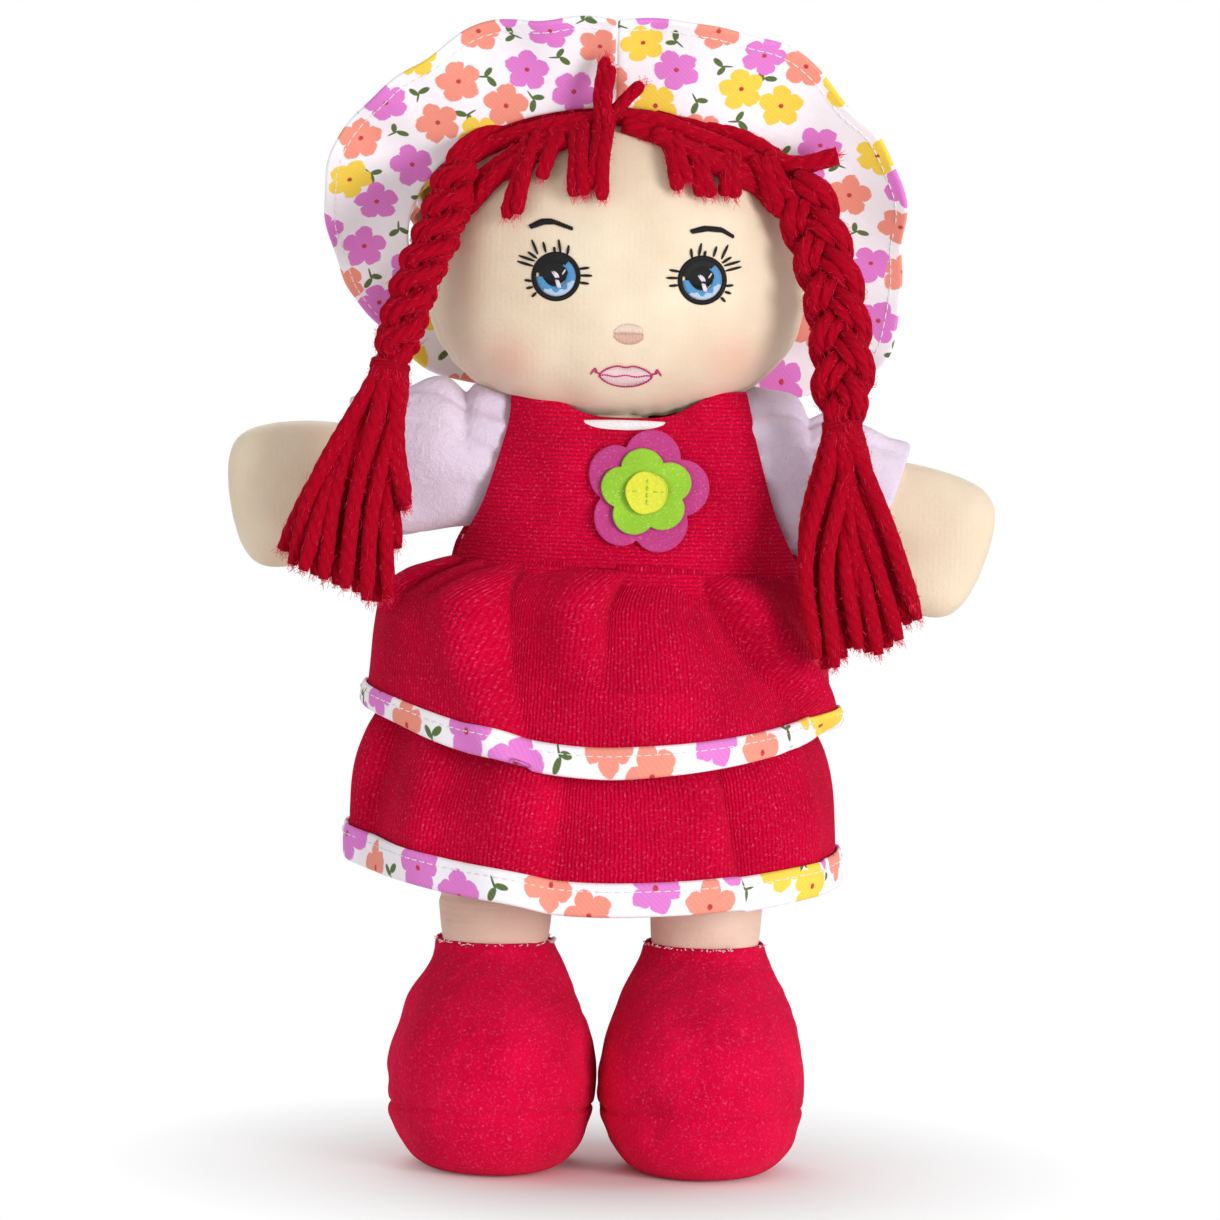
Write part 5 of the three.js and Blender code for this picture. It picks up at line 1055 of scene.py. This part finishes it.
for side, facing in (("front", -1), ("back", 1)):
    t = np.linspace(0, 1, 90)[:, None]
    across = np.linspace(-1, 1, 120)[None]
    points = bodice(t + 0 * across, across + 0 * t, facing)
    cloth_at = np.stack([points[..., 0] * 1.25, points[..., 2]], -1)
    panel = piece("bodice_" + side + "_cloth",
                  loop_mesh("bodice_" + side, points, cloth_at[None], around=False, ends=False),
                  red_knit_level, "torso", "red_knit", "bodice_" + side)
    finished(panel, SOLIDIFY={"thickness": 0.0016, "offset": -1.0 if facing < 0 else 1.0, "use_rim": True},
             SUBSURF={"levels": 1, "render_levels": 1})

# Collar: the folded edge of the white blouse shows as a sliver between the bodice and the chin.
collar_turn = np.linspace(1.17 * np.pi, 1.83 * np.pi, 80)[None]
roll = np.linspace(0, 2 * np.pi, 14, endpoint=False)[:, None]
collar_reach = np.stack([3.5 + 30.0 * np.cos(collar_turn), 20.5 * np.sin(collar_turn)], -1)
fold = 1 + 0.045 * np.cos(roll)
collar_points = np.concatenate([
    collar_reach * fold[..., None],
    (226.5 + 1.8 * np.sin(roll) + 0.5 * np.sin(3 * collar_turn))[..., None]], -1)
piece("collar_cloth", loop_mesh("collar_cloth", np.swapaxes(collar_points, 0, 1),
                                np.zeros((80, 15, 2))), sewing, "torso", "flower_cotton", "collar")

# Felt flower: three layers cut from coloured craft felt, laid on each other and sewn on through the middle
# with a level and an upright row of small stitches.
FLOWER_PLACE = (10.6, 207.6)
LAYERS = {
    "flower_petals": {"radius": 18.6, "wave": 0.26, "start": 80, "lift": 0.5, "felt": "pink_felt",
                      "colour": rgb(206, 70, 142), "light": rgb(226, 120, 176), "stretch": (1.0, 1.02)},
    "flower_ring": {"radius": 13.6, "wave": 0.24, "start": 98, "lift": 1.9, "felt": "green_felt",
                    "colour": rgb(160, 214, 62), "light": rgb(196, 236, 120), "stretch": (1.02, 0.97)},
    "flower_centre": {"radius": 6.4, "wave": 0.04, "start": 30, "lift": 3.3, "felt": "yellow_felt",
                      "colour": rgb(238, 240, 70), "light": rgb(250, 250, 150), "stretch": (1.0, 1.0)},
}
FELT = 1.2


def on_bodice(x, z, out):
    """Points in front of the bodice's front panel at x and z."""
    t = np.interp(z, BODICE_ROWS[:, 0], np.linspace(0, 1, len(BODICE_ROWS)))
    height, width, depth, edge = np.moveaxis(smooth(BODICE_ROWS, t), -1, 0)
    power = 2.1 + 1.1 * np.clip((height - 188) / 20, 0, 1)
    y = depth * np.maximum(1 - np.abs((x - BODICE_ASIDE) / width) ** power, 0) ** (1 / power)
    return np.stack([x + 0 * y, -y - out, z + 0 * y], -1)


for node, layer in LAYERS.items():
    felt, felt_tree, felt_shader = material(layer["felt"], 0.95, sheen=0.5, sheen_tint=layer["light"], specular=0.1)
    felt_cloth = placed(felt_tree, brushed, Place=add(felt_tree, "TexCoord").outputs["Object"],
                        Ground=layer["colour"], Fibre=layer["light"],
                        Shade=tuple(0.8 * c for c in layer["colour"][:3]) + (1.0,), Grain=1500.0, Fuzz=0.9)
    felt_tree.links.new(felt_cloth.outputs["Color"], felt_shader.inputs["Base Color"])
    raised(felt_tree, felt_shader, felt_cloth.outputs["Height"], 0.0005)
    turn = np.linspace(0, 2 * np.pi, 160, endpoint=False)[None]
    inward = np.concatenate([np.linspace(0.02, 1, 24), [1.0, 1.0, 1.0], np.linspace(1, 0.02, 6)])[:, None]
    depth = np.concatenate([np.ones(24), [0.72, 0.28, 0.0], np.zeros(6)])[:, None] * FELT
    round_edge = np.concatenate([np.zeros(23), [-0.25, 0.0, 0.0, -0.25], np.zeros(6)])[:, None]
    petal = np.abs(np.cos(2.5 * (turn - np.radians(layer["start"])))) ** 0.75
    reach = layer["radius"] * (1 - layer["wave"] + layer["wave"] * petal + 0.02 * np.sin(3 * turn + 1))
    reach = reach * inward + round_edge
    x = FLOWER_PLACE[0] + layer["stretch"][0] * reach * np.cos(turn)
    z = FLOWER_PLACE[1] + layer["stretch"][1] * reach * np.sin(turn)
    curl = 0.5 * inward ** 3 * (1 + np.sin(2 * turn + 0.6))
    points = on_bodice(x, z, layer["lift"] + depth + curl)
    piece(node + "_felt", loop_mesh(node, points), felt, "torso", layer["felt"], node)

rows_of_stitches = []
for (x0, z0), (x1, z1) in (((-10.5, 0.2), (-1.0, 0.4)), ((1.0, 0.4), (9.5, 0.2)), ((0.4, 5.2), (0.2, -5.4))):
    s = np.linspace(0, 1, 60)
    x = FLOWER_PLACE[0] + x0 + (x1 - x0) * s
    z = FLOWER_PLACE[1] + z0 + (z1 - z0) * s
    inside = np.hypot(x - FLOWER_PLACE[0], z - FLOWER_PLACE[1]) < LAYERS["flower_centre"]["radius"]
    line = on_bodice(x, z, np.where(inside, 4.6, 3.3))
    rows_of_stitches.append(running_stitches(line, np.array([0, -1.0, 0]) + 0 * line, 0.26, 1.5, 2.1))
lime = thread("lime_thread", rgb(186, 226, 80))
piece("flower_stitches", loop_mesh("flower_stitches", np.concatenate(rows_of_stitches)), lime, "torso",
      "green_felt")

# Skirt: two gathered tiers of the same knit. The upper one puffs out from the waist seam and hangs over the
# lower one; each hem is edged with a folded binding of the flowered cotton, stitched near its upper edge.
TIERS = {
    # height, half width, half depth, dip at the front and the back
    "skirt_upper_tier": {
        "rows": ((184.0, 52.4, 29.0, 0.0), (182.0, 56.0, 32.0, 0.0), (179.0, 61.5, 36.5, 0.3), (173.0, 66.5, 41.0, 1.2),
                 (161.0, 69.0, 46.5, 4.0), (150.0, 70.2, 50.8, 8.5), (140.0, 70.8, 53.8, 14.0)),
        "gathers": 46, "room": 3.0, "flat": (0.45, 0.050), "aside": -2.7,
        "valleys": ((-161, -154, 7, 7.0, 0.6), (-143, -136, 6, 6.0, 0.5), (-128, -102, 9, 13.5, 1.3),
                    (-90, -85, 8, 12.0, 0.75), (-60, -14, -9, 12.0, 1.3), (-12, -4, 6, 5.0, 0.7), (22, 26, 8, 6.0, 1.2),
                    (50, 46, 8, 6.0, 0.8), (83, 88, 9, 6.0, 1.1), (120, 114, 8, 6.0, 0.8), (152, 156, 8, 5.0, 1.0))},
    "skirt_lower_tier": {
        "rows": ((143.0, 64.5, 48.4, 14.0), (138.0, 65.6, 49.6, 14.0), (130.0, 69.4, 52.6, 12.5),
                 (118.0, 73.0, 55.6, 10.5), (106.0, 74.6, 57.6, 8.5), (92.5, 74.6, 58.4, 7.0)),
        "gathers": 40, "room": 7.0, "flat": (0.46, 0.052), "aside": -2.5,
        "valleys": ((-160, -158, 7, 4.2, 1.2), (-131, -128, 8, 4.0, 0.9), (-99, -99, 11, 6.6, 1.3),
                    (-56, -50, 6, 5.6, 1.2), (-18, -20, 8, 3.4, 1.1), (20, 24, 9, 3.6, 1.2), (62, 58, 8, 3.8, 1.1),
                    (98, 102, 10, 4.0, 1.2), (140, 136, 8, 3.6, 1.1))},
}
TIER_COLUMNS = 420


def tier_surface(tier, t, turn, out=0.0):
    """
    Ovals of the tier's table: fine gathers fade away from the top, and each valley d exp(-u ^ 2 / 2), steep on one
    side and gentle on the other, runs down at an angle of its own. The front and back hang lower by dip * sin ^ 2.
    """
    rows = smooth(np.array(tier["rows"], float), t)
    height, width, depth, dip = np.moveaxis(rows, -1, 0)
    drift = turn + 0.10 * np.sin(3 * turn) + 0.05 * np.sin(7 * turn)
    gather = 0.7 * np.sin(tier["gathers"] * drift) * np.exp(-t * 7) * (1 - np.exp(-t * 25))
    fold, lean = 0 * turn, 0 * turn
    for top, bottom, wide, deep, end in tier["valleys"]:
        side, wide = np.sign(wide), abs(wide)
        apart = ((np.degrees(turn) - (top + (bottom - top) * t ** 2) + 180) % 360 - 180) * side
        u = apart / np.where(apart < 0, 0.34 * wide, 1.3 * wide)
        deepest = deep * np.exp(-u ** 2 / 2)
        puff = 0.35 * deep * np.exp(-(((apart + 1.3 * wide) / (0.7 * wide)) ** 2))
        open_by = np.sin(np.pi * np.clip(t / end, 0, 1) ** 0.6) ** 0.6
        fold = fold + (puff - deepest) * open_by
        lean = lean + side * 0.5 * deep * np.exp(-(((apart + 0.7 * wide) / (0.8 * wide)) ** 2)) * open_by * (1 - t ** 3)
        fold = fold - (0.25 * deepest * t if end > 0.9 else 0)
    room = np.minimum(1.0 + 22 * t, tier["room"] + 10 * np.clip(2 - 2 * t, 0, 1))
    fold = np.where(fold < 0, -room * np.tanh(-fold / room), fold)
    flat = np.stack([width * np.cos(turn), depth * np.sin(turn), height + 0 * turn], -1)
    soft = 0.8 * ripple(flat, 71, 42) * np.clip(t * 2, 0, 1)
    reach = gather + fold + soft + out
    x = (width + reach) * np.cos(turn) - lean * np.sin(turn)
    y = (depth + reach) * np.sin(turn) + lean * np.cos(turn)
    z = height - dip * np.sin(turn) ** 2 + 0.35 * fold * t ** 2 - GARMENT_TILT * x
    lower = 1.0 if tier["gathers"] < 45 else np.clip(2 * t, 0, 1)
    aside = BODICE_ASIDE + (tier["aside"] - BODICE_ASIDE) * lower
    return np.stack([x + aside, y, z + 0 * turn], -1)


for name, tier in TIERS.items():
    t = np.linspace(0, 1, 110)[:, None]
    turn = np.linspace(0, 2 * np.pi, TIER_COLUMNS + 1)[None]
    start = 0.925 if name == "skirt_upper_tier" else 0.875
    points = tier_surface(tier, t, turn, -0.9 * np.clip((t - start) * 50, 0, 1))
    hem = np.linalg.norm(np.diff(points[-1], axis=0), axis=1).sum()
    cloth_at = np.stack([hem * turn / (2 * np.pi) + 0 * t, points[..., 2] + 0 * turn], -1)
    made = piece(name + "_cloth", loop_mesh(name, points[:, :-1], cloth_at[None], ends=False), red_knit, "torso",
                 "red_knit", name)
    finished(made, SOLIDIFY={"thickness": 0.0014, "offset": -1.0})
    binding = np.linspace(0, 1, 14)[:, None]
    fold_in = np.sin(np.pi * binding) ** 0.35
    band = tier_surface(tier, start + (1.02 - start) * binding, turn, 0.25 + 0.75 * fold_in)
    band[..., 2] -= 0.9 * binding
    depth_of_band = np.linalg.norm(band[-1] - band[0], axis=-1).mean()
    band_uv = np.stack([hem * turn / (2 * np.pi) + 0 * binding, depth_of_band * (1 - binding) + 5 + 0 * turn], -1)
    edge_name = name.replace("skirt_", "") + "_binding"
    edging = piece(edge_name + "_cloth", loop_mesh(edge_name, band[:, :-1], band_uv[None], ends=False), cotton,
                   "torso", "flower_cotton", edge_name)
    finished(edging, SOLIDIFY={"thickness": 0.0010, "offset": 1.0})
    sewn = tier_surface(tier, np.array([[start + (1.02 - start) * 0.2]]), turn, 2.0)[0]
    sewn[:, 2] -= 0.18
    outwards = sewn * np.array([1.0, 1.6, 0])
    piece(edge_name + "_stitches",
          loop_mesh(edge_name + "_stitches", running_stitches(sewn, outwards, 0.17, 2.0, 2.9)), sewing, "torso",
          "flower_cotton")

# Sleeves: short puffed sleeves of lilac-white fleece, gathered at the shoulder and at the cuff. Each moves
# with its arm, and its gathered top is tucked in behind the bodice's armhole.
SHOULDER = (36.0, 0.0, 214.0)
ARM_DROPS = {"right": 10.0, "left": 19.0}
SLEEVE_LENGTHS = {"right": 0.78, "left": 0.95}
SLEEVE_ROWS = np.array([
    # place along the arm, half height, half depth, lift of the middle
    [-14.0, 13.0, 10.0, 3.0], [-10.0, 17.5, 13.5, 3.5], [-4.0, 20.5, 16.0, 4.0], [4.0, 22.0, 17.4, 4.8],
    [12.0, 23.0, 18.2, 5.0], [20.0, 23.2, 18.6, 5.0], [28.0, 22.6, 18.4, 4.8], [36.0, 21.9, 17.4, 5.0],
    [43.0, 21.4, 16.0, 5.2], [49.0, 21.2, 15.0, 5.4], [51.5, 20.2, 14.0, 5.2], [51.5, 17.0, 12.0, 3.6],
    [49.0, 13.4, 11.0, 0.5]])
LILAC = rgb(244, 231, 247)


def fleece(name, ground, fibre, shade, grain=1500.0, depth=0.0006):
    """Short fluffy pile: a soft sheen over a colour that is deeper between the tufts."""
    made, tree, shader = material(name, 0.95, sheen=0.2, sheen_tint=fibre, specular=0.05)
    pile_at = add(tree, "TexCoord").outputs["Object"]
    tufts = placed(tree, brushed, Place=pile_at, Ground=ground, Fibre=fibre, Shade=shade, Grain=grain, Fuzz=0.55)
    tree.links.new(tufts.outputs["Color"], shader.inputs["Base Color"])
    raised(tree, shader, tufts.outputs["Height"], depth)
    return made


lilac_fleece = fleece("lilac_fleece", LILAC, rgb(254, 248, 255), rgb(228, 212, 234))


def arm_place(points, side):
    """Points given as along the arm, up and deep, set in the doll: turned down by the arm's drop."""
    sign = 1 if side == "left" else -1
    drop = np.radians(ARM_DROPS[side])
    along, up, deep = np.moveaxis(points, -1, 0)
    x = sign * (SHOULDER[0] + along * np.cos(drop) + up * np.sin(drop))
    z = SHOULDER[2] - along * np.sin(drop) + up * np.cos(drop)
    return np.stack([x, deep, z], -1)


for side in ("right", "left"):
    t = np.linspace(0, 1, 120)[:, None]
    turn = np.linspace(0, 2 * np.pi, 160, endpoint=False)[None]
    along, tall, deep, lift = np.moveaxis(smooth(SLEEVE_ROWS, t), -1, 0)
    drawn = 0.6 * np.exp(-((along + 6) / 8) ** 2)
    swirl = turn + 0.25 * np.sin(2 * turn + along / 12)
    crease = -1.5 * np.abs(np.sin(3.5 * swirl + along / 22 + (0.5 if side == "left" else 0))) ** 6
    fold = 0.8 * drawn * np.sin(13 * swirl) + crease * np.sin(np.pi * t)
    along = np.where(along > 0, along * SLEEVE_LENGTHS[side], along)
    points = np.stack([along + 0 * turn, lift + (tall + fold) * np.sin(turn), (deep + fold) * np.cos(turn)], -1)
    points = arm_place(points, side)
    soft = 1.3 * ripple(points, 81 if side == "left" else 84, 22) * np.sin(np.pi * t)
    middle = arm_place(np.stack([along, lift, 0 * along], -1), side)
    away = points - middle
    points = points + away / np.linalg.norm(away, axis=-1, keepdims=True) * soft[..., None]
    from_crease = np.abs(points[..., 0]) - (44 if side == "right" else 60) - 0.06 * (points[..., 2] - 214)
    points = points - away * (0.24 * np.exp(-np.abs(from_crease / 3.4) ** 1.5) * np.clip(np.sin(turn) + 0.1, 0, 1))[..., None]
    sleeve = piece(side + "_sleeve_cloth", loop_mesh(side + "_sleeve", points), lilac_fleece, side + "_arm_body",
                   "lilac_fleece", side + "_sleeve")

# Hands: flat mittens of the cream satin, stuffed, set into the cuffs.
HAND_ROWS = np.array([
    # place along the arm, half height, half depth
    [37.0, 9.0, 7.5], [39.0, 14.0, 9.6], [43.0, 18.2, 10.8], [50.0, 20.4, 11.6], [58.0, 21.6, 12.0],
    [66.0, 21.9, 11.8], [72.5, 20.9, 11.0], [76.8, 18.0, 9.4], [79.4, 12.6, 7.0], [80.5, 6.0, 4.0]])
HAND_EXTRA = {"right": 0.0, "left": 1.8}
for side in ("right", "left"):
    t = np.linspace(0, 1, 90)[:, None]
    turn = np.linspace(0, 2 * np.pi, 120, endpoint=False)[None]
    along, tall, deep = np.moveaxis(smooth(HAND_ROWS, t), -1, 0)
    along = along + HAND_EXTRA[side] * np.clip((along - 48) / 30, 0, 1)
    squared = 1.0 / (np.abs(np.cos(turn)) ** 2.5 + np.abs(np.sin(turn)) ** 2.5) ** (1 / 2.5)
    seam = -0.5 * np.exp(-((np.cos(turn) / 0.06) ** 2))
    points = np.stack([along + 0 * turn, (tall * squared + seam) * np.sin(turn), deep * squared * np.cos(turn)], -1)
    points = arm_place(points, side)
    points = points + 0.35 * ripple(points, 91, 18)[..., None] * np.array([0, 1.0, 0])
    hand = piece(side + "_hand_cloth", loop_mesh(side + "_hand", points), satin, side + "_hand_body", "satin",
                 side + "_hand")

# Legs: stuffed tubes of skin-coloured cloth, with a soft crease above the shoe.
FOOT_X = 32.0
LEG_ROWS = np.array([
    [143.5, 4.0, 2.5], [142.0, 11.0, 8.0], [137.0, 15.8, 13.4], [129.0, 17.8, 16.4], [118.0, 18.0, 17.0],
    [105.0, 18.1, 17.0], [95.0, 18.2, 16.8], [86.0, 17.9, 16.4], [78.0, 17.2, 15.8], [70.0, 16.4, 15.0],
    [62.0, 14.5, 13.2]])
skin_cloth, skin_tree, skin_shader = material("skin_cloth", 0.82, sheen=0.2, specular=0.2)
skin_spot = add(skin_tree, "TexCoord").outputs["Object"]
skin_weave = placed(skin_tree, brushed, Place=skin_spot, Ground=rgb(246, 216, 198), Fibre=rgb(252, 232, 216),
                    Shade=rgb(230, 196, 176), Grain=2000.0, Fuzz=0.5)
skin_rows = add(skin_tree, "TexWave", {"bands_direction": "Z"}, Vector=skin_spot, Scale=150.0, Distortion=2.0)
raised(skin_tree, skin_shader, calc(skin_tree, "MULTIPLY_ADD", skin_rows.outputs["Fac"], 0.3,
                                    skin_weave.outputs["Height"]), 0.00025)
skin_tree.links.new(skin_weave.outputs["Color"], skin_shader.inputs["Base Color"])
for side, sign in (("right", -1), ("left", 1)):
    t = np.linspace(0, 1, 110)[:, None]
    turn = np.linspace(0, 2 * np.pi, 110, endpoint=False)[None]
    height, width, depth = np.moveaxis(smooth(LEG_ROWS, t), -1, 0)
    points = np.stack([sign * FOOT_X + width * np.cos(turn), depth * np.sin(turn), height + 0 * turn], -1)
    crease = -0.8 * np.exp(-((height + 1.5 * np.sin(turn + sign) - 83.5) / 1.6) ** 2)
    crease = crease + 0.4 * ripple(points, 101 + sign, 16)
    points = points + crease[..., None] * np.stack([np.cos(turn) + 0 * t, np.sin(turn) + 0 * t, 0 * turn + 0 * t], -1)
    leg = piece(side + "_leg_cloth", loop_mesh(side + "_leg", points), skin_cloth, side + "_leg_body", "skin_cloth",
                side + "_leg")

# Shoes: soft boots of red fleece, stuffed into round toes; the sole is a panel of its own, sewn on all round.
# The raw upper edge shows a few ends of white thread where it is sewn to the leg.
SHOE_HALF_WIDTH = 31.5
SHOE_HALF_DEPTH = 40.0
SHOE_LEAD = 5.0
SOLE_SEAM = 21.0
SHOE_ROWS = np.array([
    # height, share of the half width, share of the half depth, share of the lead
    [0.0, 0.54, 0.58, 1.0], [0.9, 0.66, 0.70, 1.0], [4.0, 0.79, 0.82, 1.0], [9.5, 0.90, 0.92, 1.0],
    [15.5, 0.955, 0.965, 1.0], [21.0, 0.985, 0.99, 1.0], [30.0, 1.0, 1.0, 1.0], [41.0, 0.935, 0.93, 1.1],
    [50.5, 0.83, 0.79, 0.7], [58.5, 0.70, 0.63, 0.1], [64.0, 0.61, 0.52, -0.4], [67.6, 0.575, 0.475, -0.5],
    [68.8, 0.55, 0.445, -0.5], [67.6, 0.52, 0.42, -0.5]])
red_fleece = fleece("red_fleece", rgb(240, 10, 72), rgb(254, 96, 134), rgb(210, 2, 56), grain=1250.0, depth=0.0007)
for side, sign in (("right", -1), ("left", 1)):
    t = np.linspace(0, 1, 150)[:, None]
    turn = np.linspace(0, 2 * np.pi, 180, endpoint=False)[None]
    height, wide, long, lead = np.moveaxis(smooth(SHOE_ROWS, t), -1, 0)
    height = np.maximum(height, 0.05)
    x = SHOE_HALF_WIDTH * wide * np.cos(turn)
    y = SHOE_HALF_DEPTH * long * np.sin(turn) - SHOE_LEAD * lead
    seam_height = SOLE_SEAM - 1.6 * np.cos(turn) ** 2 + 0.4 * np.sin(5 * turn)
    from_seam = height - seam_height
    groove = -0.8 * np.exp(-((from_seam / 0.8) ** 2)) + 0.2 * np.exp(-(((np.abs(from_seam) - 3.4) / 2.4) ** 2))
    points = np.stack([x, y, height + 0 * turn], -1)
    lumps = (0.7 * ripple(points, 111 + sign, 24) + 0.25 * ripple(points, 113, 8)) * np.clip(height / 8, 0, 1)
    reach = groove * np.clip(height / 6, 0, 1) + lumps
    points = points + reach[..., None] * np.stack([np.cos(turn) + 0 * t, np.sin(turn) + 0 * t, 0 * turn + 0 * t], -1)
    points[..., 0] += sign * FOOT_X
    shoe = piece(side + "_shoe_cloth", loop_mesh(side + "_shoe", points), red_fleece, side + "_leg_body",
                 "red_fleece", side + "_shoe_upper", side + "_shoe_sole")
    filling(side + "_shoe_filling", points[::4, ::4], side + "_leg_body", side + "_shoe_stuffing", 0.9)
    chance = np.random.default_rng(120 + sign)
    at = chance.uniform(0, 2 * np.pi, 90)
    edge = np.stack([sign * FOOT_X + 17.9 * np.cos(at), 2.5 + 18.4 * np.sin(at), 68.2 + 0 * at], -1)
    ends = edge + chance.normal(size=edge.shape) * np.array([0.7, 0.3, 0.35]) + np.array([0, 0, 0.3])
    t = np.linspace(0, 1, 6)[None, :, None]
    bits = edge[:, None] * (1 - t) + ends[:, None] * t
    bits = bits + 0.5 * np.sin(np.pi * t) * np.stack([np.cos(at), np.sin(at), 0 * at], -1)[:, None]
    grids, _ = yarn(bits, 0.15, sides=5)
    piece(side + "_shoe_thread_ends", loop_mesh(side + "_shoe_thread_ends", grids), sewing, side + "_leg_body",
          "red_fleece")

look = bpy.context.scene.view_settings
look.view_transform = "Standard"
